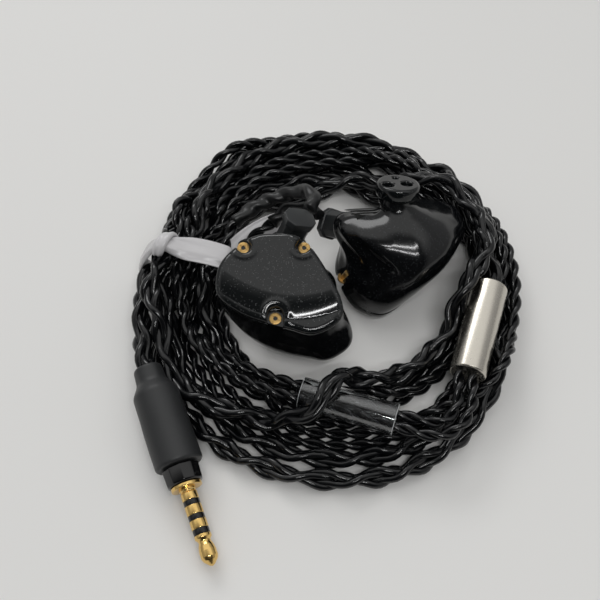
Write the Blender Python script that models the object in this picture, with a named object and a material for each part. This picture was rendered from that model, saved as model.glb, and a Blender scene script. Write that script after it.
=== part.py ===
"""In ear monitors: two resin earpieces inside the coil of their own braided cable.

Lengths are millimetres in the constants and metres in the finished objects. +Z is up, the table
is z = 0, and the origin is on the table under the middle of the two earpieces.
"""

import math

import bmesh
import bpy
from mathutils import Matrix, Vector

MM = 0.001
GAP = 0.3                      # between pieces that rest on each other
FIT = 0.1                      # round a small piece inside another

# The layout below is measured from a point near the coil's middle, and this moves it to the origin.
PAIR_CENTRE = Vector((6.93, -0.24, 0.0))

# Earpieces, in the left one's own frame: x right, y up, z out of the faceplate
LEFT_PLATE = (-3.1, -6.3, 16.4)
LEFT_TURN = 0.0
LEFT_LEAN = (9.8, -90.0)       # degrees, and the bearing that the upper side leans towards
RIGHT_PLATE = (13.4, 4.9, 1.75)
RIGHT_TURN = 74.0
RIGHT_LEAN = (18.0, -20.0)
OUTLINE = [
    (-4.2, 7.3), (0.0, 7.9), (2.6, 7.6), (5.1, 5.2), (7.9, 0.3), (9.4, -3.5), (8.6, -6.0),
    (5.1, -7.7), (1.5, -6.9), (-4.6, -5.0), (-8.6, -2.3), (-9.4, 0.4), (-8.2, 3.9),
]
OUTLINE_SIDES = 36
PLATE_THICK = 1.6
# The plate's crease is a parabola, and its top rolls down from there to the lower edge
CREASE_LOWEST = (2.5, -2.2)
CREASE_BEND = 0.035
ROLL_SLOPE = 0.10
ROLL_BEND = 0.03
ROLL_DEPTH = 0.7
NOTCHES = [((-0.5, -4.9), 270.0, 1.15), ((3.5, 5.7), 50.0, 1.1), ((-5.2, 5.7), 125.0, 1.1)]
SCREW_RADIUS = 1.0
SCREW_SHANK_RADIUS = 0.5
SCREW_OUT = 0.35               # from the notch's centre towards the edge
RIM_Z = -PLATE_THICK - GAP
RIM_WIDTH = 2.3
WALL = 0.9
NOZZLE_AXIS = Vector((0.52, 0.33, -0.79)).normalized()
NOZZLE_TIP = Vector((6.3, 4.8, -15.2))
CAP_RADIUS = 3.4
CAP_THICK = 2.3
NECK_RADIUS = 2.6
CANAL_RADIUS = 1.95
BORES = [((-1.6, -1.05), 0.94), ((1.25, -0.1), 0.94), ((-0.5, 1.75), 0.5)]

# Shell sections: middle, lean towards the nozzle in degrees, size of the outline, roundness, radius
SECTIONS = [
    ((0.0, 0.0, RIM_Z), 0, 0.985, 0.0, 8.0),
    ((0.3, -0.4, -4.4), 0, 1.00, 0.0, 8.0),
    ((1.3, -1.2, -6.9), 3, 1.00, 0.05, 8.2),
    ((2.4, -2.0, -9.3), 9, 0.96, 0.15, 7.8),
    ((3.1, -1.7, -11.1), 17, 0.85, 0.35, 6.9),
    ((3.6, -0.2, -12.0), 26, 0.66, 0.65, 5.4),
    ((4.1, 1.6, -12.2), 34, 0.51, 0.90, 4.0),
    ((4.4, 2.8, -12.3), 38, 0.40, 1.0, 3.15),
]
# How far each section swells out round the socket, and where across it
SOCKET_BOSS = [(0.0, 1.5), (1.7, 1.5), (4.3, -0.5), (5.4, -2.9), (5.0, -4.4), (2.4, -4.8), (0.3, -4.0),
               (0.0, 0.0)]
BOSS_HALF_WIDTH = 4.0
NECK_LEAN = math.degrees(math.acos(-NOZZLE_AXIS.z))
# The foot of the shell's rim on the inside, and the section where its wall starts
RIM_FOOT = ((0.1, -0.2, -4.4), 0, 1.0, 0.0, 8.0)
WALL_START = ((0.2, -0.3, -5.2), 1, 1.0, 0.0, 8.0)
NECK_FOOT = 0.9                # where the neck meets the last section, below the cap
SCREW_LENGTH = 2.3

# Inside: name, size, middle and colour
INSIDE_BOXES = [
    ("low_driver", (6.0, 4.2, 3.2), (-2.4, -0.6, -6.6), "driver_steel"),
    ("mid_driver", (4.8, 2.7, 2.1), (3.9, -2.4, -6.2), "driver_steel"),
    ("high_driver", (3.8, 2.6, 1.9), (3.2, 1.3, -6.2), "driver_steel"),
    ("crossover_board", (7.0, 4.6, 0.8), (0.2, 0.4, -3.2), "board"),
]
# Sound tubes: name, outer and inner diameter, place across and over the canal, and the driver's end
SOUND_TUBES = [
    ("low_tube", 1.5, 1.0, (0.8, 0.0), (-0.2, -0.4, -9.0)),
    ("mid_tube", 1.5, 1.0, (-0.8, 0.0), (3.4, -2.8, -8.2)),
    ("high_tube", 0.9, 0.5, (0.0, 1.15), (4.8, 1.2, -7.9)),
]
TUBE_BEND = (2.9, 0.7, -10.0)

# Two-pin connector: its axis runs from the shell out to the flange
PIN_AXIS = Vector((0.38, 0.39, 0.836)).normalized()
FLANGE_MIDDLE = Vector((3.2, 11.0, -1.4))
HOUSING_LENGTH = 6.6
HOUSING_SIZE = (4.3, 3.4)
FLANGE_SIZE = (4.9, 3.9)
FLANGE_THICK = 1.3
CORNER_CUT = 0.95
PIN_RADIUS = 0.39
PIN_SPACING = 2.0
PIN_LENGTH = 3.0
SOCKET_SIZE = (4.0, 2.4, 2.9)

# Cable
MAIN_DIAMETER = 3.3
LEAD_DIAMETER = 1.8
HOOK_DIAMETER = 2.3
LEAD_APART = 0.14              # half the gap between the two leads
COIL_CENTRE = Vector((4.0, 0.0, 0.0))
COIL_OUTER = 31.6
COIL_OVAL = 1.2                # how much wider the coil is front to back than side to side
COIL_CORNER = 1.4              # how far the turns stray out beside the splitter
COIL_HOLE_RADIUS = 17.0
COIL_HOLE_SHIFT = (3.0, 1.3)
COIL_LOW = 3.4
COIL_HIGH = 7.2
COIL_BEARINGS = 56
TIE_BEARING = 169.0
TIE_WIDTH = 4.6
TIE_THICK = 0.8
TIE_ROOM = 0.6                 # between the coil and the tie round it

SPLITTER_LOWER = Vector((25.0, -17.0, 7.2))
SPLITTER_UPPER = Vector((29.8, -1.9, 7.2))
SPLITTER_RADIUS = 2.8
SPLITTER_BORE = 2.25
SPLITTER_LIP = 1.2             # how deep the insert sits in each end
SLIDER_LEFT = Vector((0.2, -19.6, 6.5))
SLIDER_RIGHT = Vector((14.0, -24.0, 6.5))
SLIDER_RADIUS = 2.4
SLIDER_BORE = 2.05

PLUG_TIP = Vector((-12.2, -44.3, 1.9))
PLUG_WASHER = Vector((-16.3, -33.4, 3.3))
SHAFT_RADIUS = 1.25
PLUG_CORE_RADIUS = 0.4

# Hand-chosen route points
LEAD_ROUTE = [
    (24.6, -18.3, 7.1), (24.4, -21.2, 6.9), (23.0, -24.0, 6.7), (20.6, -25.5, 6.6),
    (17.8, -25.2, 6.5), (15.2, -24.38, 6.5), (11.0, -23.05, 6.5), (5.0, -21.13, 6.5), (0.2, -19.6, 6.5),
    (-4.4, -18.13, 6.5), (-8.4, -16.4, 6.4),
]
MAIN_START_ROUTE = [(30.2, -0.6, 7.1), (30.6, 2.6, 6.6), (30.0, 6.4, 6.1)]
MAIN_END_ROUTE = [
    (-24.7, -7.0, 5.0), (-24.5, -9.4, 5.1), (-24.1, -12.0, 5.3), (-23.4, -14.6, 5.6),
]
LEFT_HOOK_ROUTE = [
    (1.5, 7.7, 14.6), (2.1, 9.6, 14.4), (1.7, 11.6, 13.6), (0.2, 13.0, 12.2), (-2.2, 13.6, 10.6),
    (-5.4, 13.0, 9.5), (-8.2, 11.4, 9.1), (-10.6, 9.2, 8.8),
]
RIGHT_HOOK_ROUTE = [
    (3.0, 9.9, 9.95), (2.0, 11.2, 9.5), (0.2, 12.4, 8.4), (-2.2, 12.6, 7.3), (-4.6, 11.0, 6.2),
]

COLOURS = {
    "resin": ((0.012, 0.013, 0.014), 0.12, 0.0),
    "resin_plate": ((0.035, 0.038, 0.039), 0.15, 0.0),
    "brass": ((0.62, 0.42, 0.15), 0.3, 1.0),
    "gold": ((0.75, 0.5, 0.17), 0.2, 1.0),
    "nickel": ((0.6, 0.56, 0.5), 0.3, 1.0),
    "driver_steel": ((0.55, 0.56, 0.57), 0.35, 1.0),
    "board": ((0.02, 0.16, 0.08), 0.5, 0.0),
    "tubing": ((0.75, 0.76, 0.76), 0.3, 0.0),
    "socket": ((0.02, 0.02, 0.02), 0.5, 0.0),
    "connector": ((0.035, 0.038, 0.04), 0.6, 0.0),
    "shrink": ((0.03, 0.032, 0.034), 0.7, 0.0),
    "cord": ((0.004, 0.005, 0.006), 0.25, 0.0),
    "clear": ((0.85, 0.86, 0.86), 0.08, 0.0),
    "tie": ((0.75, 0.73, 0.74), 0.3, 0.0),
    "gloss_black": ((0.006, 0.006, 0.007), 0.1, 0.0),
}


def clear_scene():
    for thing in list(bpy.data.objects):
        bpy.data.objects.remove(thing, do_unlink=True)


def material(name):
    found = bpy.data.materials.get(name)
    if found:
        return found
    colour, roughness, metallic = COLOURS[name]
    made = bpy.data.materials.new(name)
    made.use_nodes = True
    shader = made.node_tree.nodes["Principled BSDF"]
    shader.inputs["Base Color"].default_value = (*colour, 1.0)
    shader.inputs["Roughness"].default_value = roughness
    shader.inputs["Metallic"].default_value = metallic
    return made


def add_empty(name, matrix, parent=None):
    empty = bpy.data.objects.new(name, None)
    bpy.context.scene.collection.objects.link(empty)
    empty.parent = parent
    empty.matrix_basis = matrix
    return empty


def add_object(name, data, colour, parent):
    made = bpy.data.objects.new(name, data)
    bpy.context.scene.collection.objects.link(made)
    made.data.materials.append(material(colour))
    made.parent = parent
    return made


def solid(name, rings, colour, parent, loop=False, smooth=True):
    """One closed body through rings of points in millimetres. loop joins the last ring to the first."""
    shape = bmesh.new()
    rows = [[shape.verts.new(Vector(point) * MM) for point in ring] for ring in rings]
    sides = len(rows[0])
    pairs = list(zip(rows, rows[1:]))
    if loop:
        pairs.append((rows[-1], rows[0]))
    for here, there in pairs:
        for i in range(sides):
            j = (i + 1) % sides
            shape.faces.new((here[i], here[j], there[j], there[i]))
    if not loop:
        shape.faces.new(rows[0])
        shape.faces.new(rows[-1])
    bmesh.ops.recalc_face_normals(shape, faces=shape.faces)
    mesh = bpy.data.meshes.new(name)
    shape.to_mesh(mesh)
    shape.free()
    if smooth:
        mesh.shade_smooth()
        mesh.set_sharp_from_angle(angle=math.radians(35))
    return add_object(name, mesh, colour, parent)


def circle(radius, height, sides):
    turn = math.tau / sides
    return [(radius * math.cos(i * turn), radius * math.sin(i * turn), height) for i in range(sides)]


def lathe(name, profile, colour, parent, bore=None, sides=20):
    """A turned piece along +Z from (height, radius) pairs, with an optional bore right through."""
    rings = [circle(radius, height, sides) for height, radius in profile]
    if bore:
        rings.append(circle(bore, profile[-1][0], sides))
        rings.append(circle(bore, profile[0][0], sides))
    return solid(name, rings, colour, parent, loop=bool(bore))


def octagon(size, cut, height):
    half_x = size[0] / 2
    half_y = size[1] / 2
    corners = []
    for sign_x, sign_y, first in ((1, 1, 0), (-1, 1, 1), (-1, -1, 0), (1, -1, 1)):
        near_x = (sign_x * half_x, sign_y * (half_y - cut), height)
        near_y = (sign_x * (half_x - cut), sign_y * half_y, height)
        corners += [near_y, near_x] if first else [near_x, near_y]
    return corners


def box(name, size, middle, colour, parent, edge=0.25):
    half = Vector(size) / 2
    rings = []
    for z in (-half.z, half.z):
        flat = [(half.x, half.y), (-half.x, half.y), (-half.x, -half.y), (half.x, -half.y)]
        rings.append([(x, y, z) for x, y in flat])
    made = solid(name, rings, colour, parent, smooth=False)
    made.location = Vector(middle) * MM
    if edge:
        bevel = made.modifiers.new("edges", "BEVEL")
        bevel.width = edge * MM
        bevel.segments = 2
    return made


def cutter(made):
    made.hide_render = True
    made.display_type = "WIRE"
    return made


def cut(target, tool):
    cutter(tool)
    step = target.modifiers.new(tool.name, "BOOLEAN")
    step.operation = "DIFFERENCE"
    step.solver = "EXACT"
    step.object = tool


def spline(points, count, closed=False):
    """Points evenly spaced along a smooth curve through the given ones."""
    points = [Vector(p) for p in points]
    size = len(points)
    fine = []
    spans = size if closed else size - 1
    for i in range(spans):
        if closed:
            a, b, c, d = (points[(i + k) % size] for k in (-1, 0, 1, 2))
        else:
            b, c = points[i], points[i + 1]
            a = points[i - 1] if i else b * 2 - c
            d = points[i + 2] if i + 2 < size else c * 2 - b
        for step in range(20):
            t = step / 20
            fine.append(0.5 * (2 * b + (c - a) * t + (2 * a - 5 * b + 4 * c - d) * t**2
                               + (3 * b - a - 3 * c + d) * t**3))
    fine.append(points[0] if closed else points[-1])
    run = [0.0]
    for here, there in zip(fine, fine[1:]):
        run.append(run[-1] + (there - here).length)
    wanted = count if closed else count - 1
    result = []
    k = 0
    for i in range(count):
        goal = run[-1] * i / wanted
        while k < len(run) - 2 and run[k + 1] < goal:
            k += 1
        share = (goal - run[k]) / max(run[k + 1] - run[k], 1e-9)
        result.append(fine[k].lerp(fine[k + 1], share))
    return result


def cord(name, route, diameter, colour, parent, spacing=2.5):
    """A cord along a smooth curve through its route, as a bevelled curve with filled caps."""
    length = sum((Vector(b) - Vector(a)).length for a, b in zip(route, route[1:]))
    points = spline(route, max(4, round(length / (diameter * spacing)) + 1))
    curve = bpy.data.curves.new(name, "CURVE")
    curve.dimensions = "3D"
    curve.bevel_depth = diameter / 2 * MM
    curve.bevel_resolution = 2
    curve.use_fill_caps = True
    line = curve.splines.new("POLY")
    line.points.add(len(points) - 1)
    for place, point in zip(line.points, points):
        place.co = (*(point * MM), 1.0)
    return add_object(name, curve, colour, parent)


def axes(x_hint, z_axis, place):
    """A frame at a place in millimetres, with +Z along z_axis and +X as near x_hint as it can be."""
    z_axis = Vector(z_axis).normalized()
    x_axis = (Vector(x_hint) - z_axis * z_axis.dot(Vector(x_hint))).normalized()
    y_axis = z_axis.cross(x_axis)
    turn = Matrix((x_axis, y_axis, z_axis)).transposed().to_4x4()
    return Matrix.Translation(Vector(place) * MM) @ turn


def flipped(vector, side):
    return Vector((vector[0] * side, vector[1], vector[2]))


def outline_ring(size, inset, height, count=OUTLINE_SIDES):
    """The faceplate's outline, scaled, then drawn in by inset towards its middle."""
    ring = []
    for point in spline([(x, y, 0.0) for x, y in OUTLINE], count, closed=True):
        point = point * size
        ring.append(point * (1 - inset / point.length) + Vector((0, 0, height)))
    return ring


def section_ring(section, inset, boss=(0.0, 0.0)):
    """One section of the shell: the outline melting into a circle, leaned towards the nozzle."""
    middle, lean, size, roundness, radius = section
    towards = Vector((NOZZLE_AXIS.x, NOZZLE_AXIS.y, 0)).normalized()
    hinge = Vector((0, 0, -1)).cross(towards)
    turn = Matrix.Rotation(math.radians(lean), 3, hinge)
    ring = []
    for point in outline_ring(1.0, 0.0, 0.0):
        round_point = point.normalized() * radius
        point = (point * size).lerp(round_point, roundness)
        point = point * (1 - inset / point.length)
        if point.y > 0:
            point.y += boss[0] * math.exp(-((point.x - boss[1]) / BOSS_HALF_WIDTH) ** 4)
        ring.append(turn @ point + Vector(middle))
    return ring


def neck_ring(along, radius):
    """A circle round the nozzle's axis, numbered from the same side as the outline."""
    section = (tuple(NOZZLE_TIP - NOZZLE_AXIS * along), NECK_LEAN, 1.0, 1.0, radius)
    return section_ring(section, 0.0)


def pieces_of_shell(side_name, side, seat):
    parent = bpy.data.objects[side_name + "_earpiece"]
    outer = [section_ring(section, 0.0, boss) for section, boss in zip(SECTIONS, SOCKET_BOSS)]
    outer.append(neck_ring(CAP_THICK + NECK_FOOT, NECK_RADIUS + 0.15))
    outer.append(neck_ring(CAP_THICK + FIT, NECK_RADIUS))
    inner = [section_ring(SECTIONS[0], RIM_WIDTH)]
    inner.append(section_ring(RIM_FOOT, RIM_WIDTH))
    inner.append(section_ring(WALL_START, WALL + 0.2))
    inner += [section_ring(s, WALL) for s in SECTIONS[2:]]
    inner.append(neck_ring(CAP_THICK + NECK_FOOT, CANAL_RADIUS + 0.05))
    inner.append(neck_ring(CAP_THICK + FIT, CANAL_RADIUS))
    rings = [[flipped(p, side) for p in ring] for ring in outer + inner[::-1]]
    shell = solid(side_name + "_shell", rings, "resin", parent, loop=True)

    recess = solid(side_name + "_recess_cutter",
                   [octagon((HOUSING_SIZE[0] + 2 * GAP, HOUSING_SIZE[1] + 2 * GAP), CORNER_CUT, z)
                    for z in (-GAP, 14.0)], "resin", seat)
    cut(shell, recess)
    hole = box(side_name + "_socket_cutter",
               (SOCKET_SIZE[0] + 2 * FIT, SOCKET_SIZE[1] + 2 * FIT, SOCKET_SIZE[2] + 1.0),
               (0, 0, 0.5 - GAP - 2 * FIT - SOCKET_SIZE[2] / 2), "resin", seat, edge=0)
    cut(shell, hole)
    for number, (x, y) in enumerate(screw_places(), 1):
        tool = lathe(f"{side_name}_screw_cutter_{number}",
                     [(-SCREW_LENGTH, SCREW_SHANK_RADIUS + FIT), (1.0, SCREW_SHANK_RADIUS + FIT)],
                     "resin", parent, sides=8)
        tool.location = flipped((x, y, RIM_Z), side) * MM
        cut(shell, tool)


def screw_places():
    places = []
    for notch in NOTCHES:
        x, y = notch[0]
        turn = math.radians(notch[1])
        places.append((x + SCREW_OUT * math.cos(turn), y + SCREW_OUT * math.sin(turn)))
    return places


def plate_height(x, y):
    crease = CREASE_LOWEST[1] + CREASE_BEND * (x - CREASE_LOWEST[0]) ** 2
    below = max(0.0, crease - y)
    return -min(ROLL_DEPTH, ROLL_SLOPE * below + ROLL_BEND * below**2)


def faceplate(side_name, side):
    parent = bpy.data.objects[side_name + "_earpiece"]
    rings = [outline_ring(1.0, 0.15, -PLATE_THICK), outline_ring(1.0, 0.0, -PLATE_THICK + 0.3)]
    for inset, drop in ((0.0, 0.5), (0.3, 0.12), (0.9, 0.0)):
        ring = outline_ring(1.0, inset, 0.0)
        rings.append([(p.x, p.y, plate_height(p.x, p.y) - drop) for p in ring])
    for share in (0.72, 0.4):
        ring = outline_ring(share, 0.0, 0.0)
        rings.append([(p.x, p.y, plate_height(p.x, p.y)) for p in ring])
    rings = [[flipped(p, side) for p in ring] for ring in rings]
    plate = solid(side_name + "_faceplate", rings, "resin_plate", parent)
    for number, ((x, y), bearing, radius) in enumerate(NOTCHES, 1):
        turn = math.radians(bearing)
        shape = []
        for i in range(9):
            angle = turn + math.pi / 2 + math.pi * i / 8
            shape.append((x + radius * math.cos(angle), y + radius * math.sin(angle)))
        for sign in (1, -1):
            shape.append((x + 5 * math.cos(turn) + sign * radius * math.sin(turn),
                          y + 5 * math.sin(turn) - sign * radius * math.cos(turn)))
        rings = [[flipped((px, py, z), side) for px, py in shape] for z in (-3.0, 2.0)]
        tool = solid(f"{side_name}_notch_cutter_{number}", rings, "resin", parent)
        cut(plate, tool)
    for number, (x, y) in enumerate(screw_places(), 1):
        screw = lathe(f"{side_name}_faceplate_screw_{number}",
                      [(GAP - SCREW_LENGTH, SCREW_SHANK_RADIUS), (GAP, SCREW_SHANK_RADIUS),
                       (GAP, SCREW_RADIUS), (1.1, SCREW_RADIUS), (1.25, SCREW_RADIUS - 0.2)],
                      "brass", parent, sides=10)
        screw.location = flipped((x, y, RIM_Z), side) * MM


def nozzle_cap(side_name, side):
    earpiece = bpy.data.objects[side_name + "_earpiece"]
    axis = flipped(NOZZLE_AXIS, side)
    base = flipped(NOZZLE_TIP, side) - axis * CAP_THICK
    seat = add_empty(side_name + "_nozzle", axes((0, 1, 0), axis, base), earpiece)
    profile = [(0.0, NECK_RADIUS - 0.3), (0.25, CAP_RADIUS - 0.25), (0.6, CAP_RADIUS),
               (CAP_THICK - 0.5, CAP_RADIUS), (CAP_THICK - 0.15, CAP_RADIUS - 0.15),
               (CAP_THICK, CAP_RADIUS - 0.5)]
    cap = lathe(side_name + "_nozzle_cap", profile, "resin_plate", seat, sides=24)
    for number, ((x, y), radius) in enumerate(BORES, 1):
        tool = lathe(f"{side_name}_bore_cutter_{number}", [(-1.0, radius), (CAP_THICK + 1.0, radius)],
                     "resin", seat, sides=12)
        tool.location = Vector((-x, y * side, 0)) * MM
        cut(cap, tool)


def insides(side_name, side):
    parent = bpy.data.objects[side_name + "_earpiece"]
    for name, size, middle, colour in INSIDE_BOXES:
        box(side_name + "_" + name, size, flipped(middle, side), colour, parent, edge=0.2)
    across = Vector((0, 0, 1)).cross(NOZZLE_AXIS).normalized()
    over = NOZZLE_AXIS.cross(across)
    for name, outside, inside, (sideways, upwards), start in SOUND_TUBES:
        offset = across * sideways + over * upwards
        neck = NOZZLE_TIP - NOZZLE_AXIS * (CAP_THICK + 2 * FIT) + offset
        route = [Vector(start), Vector(TUBE_BEND) + offset * 1.2,
                 neck - NOZZLE_AXIS * 1.5, neck]
        rings = tube_rings(spline(route, 7), outside / 2, 8)
        rings += tube_rings(spline(route, 7), inside / 2, 8)[::-1]
        rings = [[flipped(p, side) for p in ring] for ring in rings]
        solid(side_name + "_" + name, rings, "tubing", parent, loop=True)


def tube_rings(points, radius, sides):
    rings = []
    x_axis = Vector((0, 0, 1))
    for i, point in enumerate(points):
        ahead = (points[min(i + 1, len(points) - 1)] - points[max(i - 1, 0)]).normalized()
        x_axis = (x_axis - ahead * ahead.dot(x_axis)).normalized()
        y_axis = ahead.cross(x_axis)
        rings.append([point + (x_axis * x + y_axis * y) for x, y, _z in circle(radius, 0, sides)])
    return rings


def earpiece(side_name, side, place, turn, lean):
    """Stands one earpiece: turned about the vertical, plate up or down, then leaned."""
    angle, bearing = (math.radians(value) for value in lean)
    hinge = Vector((-math.sin(bearing), math.cos(bearing), 0))
    rotation = Matrix.Rotation(angle, 3, hinge) @ Matrix.Rotation(math.radians(turn), 3, "Z")
    if side < 0:
        rotation = rotation @ Matrix.Rotation(math.pi, 3, "Y")
    matrix = Matrix.Translation((Vector(place) - PAIR_CENTRE) * MM) @ rotation.to_4x4()
    holder = add_empty(side_name + "_earpiece", matrix)
    axis = flipped(PIN_AXIS, side)
    seat_place = flipped(FLANGE_MIDDLE, side) - axis * HOUSING_LENGTH
    seat = add_empty(side_name + "_connector_axis", axes((1, 0.3 * side, 0), axis, seat_place), holder)
    pieces_of_shell(side_name, side, seat)
    faceplate(side_name, side)
    nozzle_cap(side_name, side)
    insides(side_name, side)
    connector(side_name, seat)


def connector(side_name, seat):
    flange_z = HOUSING_LENGTH - FLANGE_THICK
    rings = [octagon((HOUSING_SIZE[0] - 0.4, HOUSING_SIZE[1] - 0.4), CORNER_CUT - 0.1, 0.0),
             octagon(HOUSING_SIZE, CORNER_CUT, 0.35),
             octagon(HOUSING_SIZE, CORNER_CUT, flange_z),
             octagon(FLANGE_SIZE, CORNER_CUT + 0.1, flange_z + 0.2),
             octagon(FLANGE_SIZE, CORNER_CUT + 0.1, HOUSING_LENGTH - 0.25),
             octagon((FLANGE_SIZE[0] - 0.5, FLANGE_SIZE[1] - 0.5), CORNER_CUT, HOUSING_LENGTH)]
    housing = solid(side_name + "_connector_housing", rings, "connector", seat, smooth=False)
    socket = box(side_name + "_socket", SOCKET_SIZE, (0, 0, -GAP - 0.1 - SOCKET_SIZE[2] / 2),
                 "socket", seat, edge=0)
    for number, x in enumerate((-PIN_SPACING / 2, PIN_SPACING / 2), 1):
        pin = lathe(f"{side_name}_pin_{number}",
                    [(-PIN_LENGTH, PIN_RADIUS - 0.15), (-PIN_LENGTH + 0.2, PIN_RADIUS),
                     (1.4, PIN_RADIUS)], "gold", seat, sides=12)
        pin.location.x = x * MM
        for target, name, low, high in ((housing, "pin_seat", -1.0, 1.6), (socket, "bore", -5.0, 1.0)):
            tool = lathe(f"{side_name}_{name}_cutter_{number}",
                         [(low, PIN_RADIUS + FIT), (high, PIN_RADIUS + FIT)], "gold", seat, sides=12)
            tool.location.x = x * MM
            cut(target, tool)


def coil_section(bearing, grow=0.0):
    """The coil's cross-section at a bearing: inner and outer radius, underside and height."""
    turn = math.radians(bearing)
    inner = COIL_HOLE_RADIUS + COIL_HOLE_SHIFT[0] * math.cos(turn) + COIL_HOLE_SHIFT[1] * math.sin(turn)
    flat = 0.5 + 0.5 * math.cos(turn + math.radians(55))
    height = COIL_HIGH - (COIL_HIGH - COIL_LOW) * min(1.0, flat * 1.7) ** 1.5
    near_tie = math.exp(-(((bearing - TIE_BEARING + 180) % 360 - 180) / 15.0) ** 4)
    near_heel = math.exp(-((bearing - 27) / 28) ** 4)
    inner += 1.2 * near_tie + 3.0 * near_heel
    near_plug = math.exp(-((bearing - 203) / 16) ** 4)
    near_corner = math.exp(-((bearing - 305) / 35) ** 2)
    outer = COIL_OUTER - COIL_OVAL * math.cos(2 * turn) + COIL_CORNER * near_corner
    outer -= 2.8 * near_tie + 5.0 * near_plug
    low = (TIE_THICK + 2 * GAP) * near_tie
    corners = [
        (inner + 1.6, low), (outer - 1.6, low), (outer, low + 1.4), (outer, height - 1.6),
        (outer - 1.8, height), (inner + 1.8, height), (inner, height - 1.6), (inner, low + 1.4),
    ]
    middle = Vector(((inner + outer) / 2, (low + height) / 2))
    grown = []
    for corner in corners:
        away = Vector(corner) - middle
        grown.append((corner[0] + math.copysign(grow, away.x), corner[1] + math.copysign(grow, away.y)))
    return grown


def cable(layout):
    rings = []
    for i in range(COIL_BEARINGS):
        bearing = 360 * i / COIL_BEARINGS
        turn = math.radians(bearing)
        out = Vector((math.cos(turn), math.sin(turn), 0))
        rings.append([COIL_CENTRE + out * r + Vector((0, 0, z)) for r, z in coil_section(bearing)])
    solid("cable_coil", rings, "cord", layout, loop=True)

    along = (SPLITTER_UPPER - SPLITTER_LOWER).normalized()
    seat = add_empty("splitter_axis", axes((0, 0, 1), along, SPLITTER_LOWER), layout)
    length = (SPLITTER_UPPER - SPLITTER_LOWER).length
    lathe("splitter_barrel",
          [(0.0, SPLITTER_RADIUS - 0.25), (0.25, SPLITTER_RADIUS), (length - 0.25, SPLITTER_RADIUS),
           (length, SPLITTER_RADIUS - 0.25)], "nickel", seat, bore=SPLITTER_BORE, sides=28)
    core = SPLITTER_BORE - FIT
    lathe("splitter_insert", [(SPLITTER_LIP, core), (length - SPLITTER_LIP, core)], "cord", seat)

    slider_axis = (SLIDER_RIGHT - SLIDER_LEFT).normalized()
    seat = add_empty("slider_axis", axes((0, 0, 1), slider_axis, SLIDER_LEFT), layout)
    lathe("chin_slider", [(0.0, SLIDER_RADIUS), ((SLIDER_RIGHT - SLIDER_LEFT).length, SLIDER_RADIUS)],
          "clear", seat, bore=SLIDER_BORE, sides=24)

    for name, sign in (("left", 1), ("right", -1)):
        route = []
        for i, point in enumerate(LEAD_ROUTE):
            here = Vector(point)
            before = Vector(LEAD_ROUTE[max(i - 1, 0)])
            after = Vector(LEAD_ROUTE[min(i + 1, len(LEAD_ROUTE) - 1)])
            ahead = (after - before).normalized()
            aside = Vector((-ahead.y, ahead.x, 0)).normalized()
            route.append(here + aside * sign * (LEAD_DIAMETER / 2 + LEAD_APART))
        cord(name + "_lead_run", route, LEAD_DIAMETER, "cord", layout)
    cord("main_cable_start", MAIN_START_ROUTE, MAIN_DIAMETER, "cord", layout, spacing=1.0)
    cord("main_cable_end", MAIN_END_ROUTE, MAIN_DIAMETER, "cord", layout, spacing=1.0)
    cord("left_ear_hook", LEFT_HOOK_ROUTE, HOOK_DIAMETER, "shrink", layout, spacing=1.5)
    cord("right_ear_hook", RIGHT_HOOK_ROUTE, HOOK_DIAMETER, "shrink", layout, spacing=1.5)


def cable_tie(layout):
    rings = []
    for sign in (-1, 1):
        turn = math.radians(TIE_BEARING)
        out = Vector((math.cos(turn), math.sin(turn), 0))
        aside = Vector((-out.y, out.x, 0)) * sign * TIE_WIDTH / 2
        for grow in ((TIE_ROOM, TIE_ROOM + TIE_THICK) if sign < 0 else (TIE_ROOM + TIE_THICK, TIE_ROOM)):
            ring = []
            for r, z in coil_section(TIE_BEARING, grow=grow):
                ring.append(COIL_CENTRE + out * r + aside + Vector((0, 0, max(z, 0.0))))
            rings.append(ring)
    solid("cable_tie", rings, "tie", layout, loop=True)


def plug(layout):
    axis = (PLUG_TIP - PLUG_WASHER).normalized()
    seat = add_empty("plug_axis", axes((0, 0, 1), axis, PLUG_WASHER), layout)
    core = PLUG_CORE_RADIUS + FIT
    r = SHAFT_RADIUS
    lathe("plug_heat_shrink",
          [(-19.6, 2.0), (-19.3, 2.2), (-17.0, 2.3), (-16.2, 3.1), (-15.4, 3.5), (-3.9, 3.6),
           (-3.5, 3.3)], "shrink", seat, bore=1.0, sides=24)
    lathe("plug_collar", [(-3.4, 2.5), (-3.2, 2.85), (-0.9, 2.75), (-0.65, 2.5)], "gloss_black", seat,
          bore=core, sides=10)
    lathe("plug_washer", [(-0.55, 2.3), (0.0, 2.3)], "gold", seat, bore=r + FIT, sides=28)
    lathe("plug_sleeve", [(-0.55, r), (1.8, r)], "gold", seat, bore=core)
    bands = [("plug_insulator_1", 1.9, 2.5, r - 0.05, "gloss_black"), ("plug_ring_1", 2.6, 4.0, r, "gold"),
             ("plug_insulator_2", 4.1, 4.7, r - 0.05, "gloss_black"), ("plug_ring_2", 4.8, 6.1, r, "gold"),
             ("plug_insulator_3", 6.2, 7.0, r - 0.05, "gloss_black")]
    for name, low, high, radius, colour in bands:
        lathe(name, [(low, radius), (high, radius)], colour, seat, bore=core)
    lathe("plug_tip",
          [(-3.0, PLUG_CORE_RADIUS), (7.1, PLUG_CORE_RADIUS), (7.1, r), (7.5, r), (7.8, 0.95),
           (8.1, 0.95), (8.6, 1.12), (10.3, r), (10.6, 1.15), (11.5, 0.35), (11.6, 0.1)],
          "gold", seat)


def main():
    clear_scene()
    layout = add_empty("layout", Matrix.Translation(-PAIR_CENTRE * MM))
    earpiece("left", 1, LEFT_PLATE, LEFT_TURN, LEFT_LEAN)
    earpiece("right", -1, RIGHT_PLATE, RIGHT_TURN, RIGHT_LEAN)
    cable(layout)
    cable_tie(layout)
    plug(layout)


main()
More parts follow.
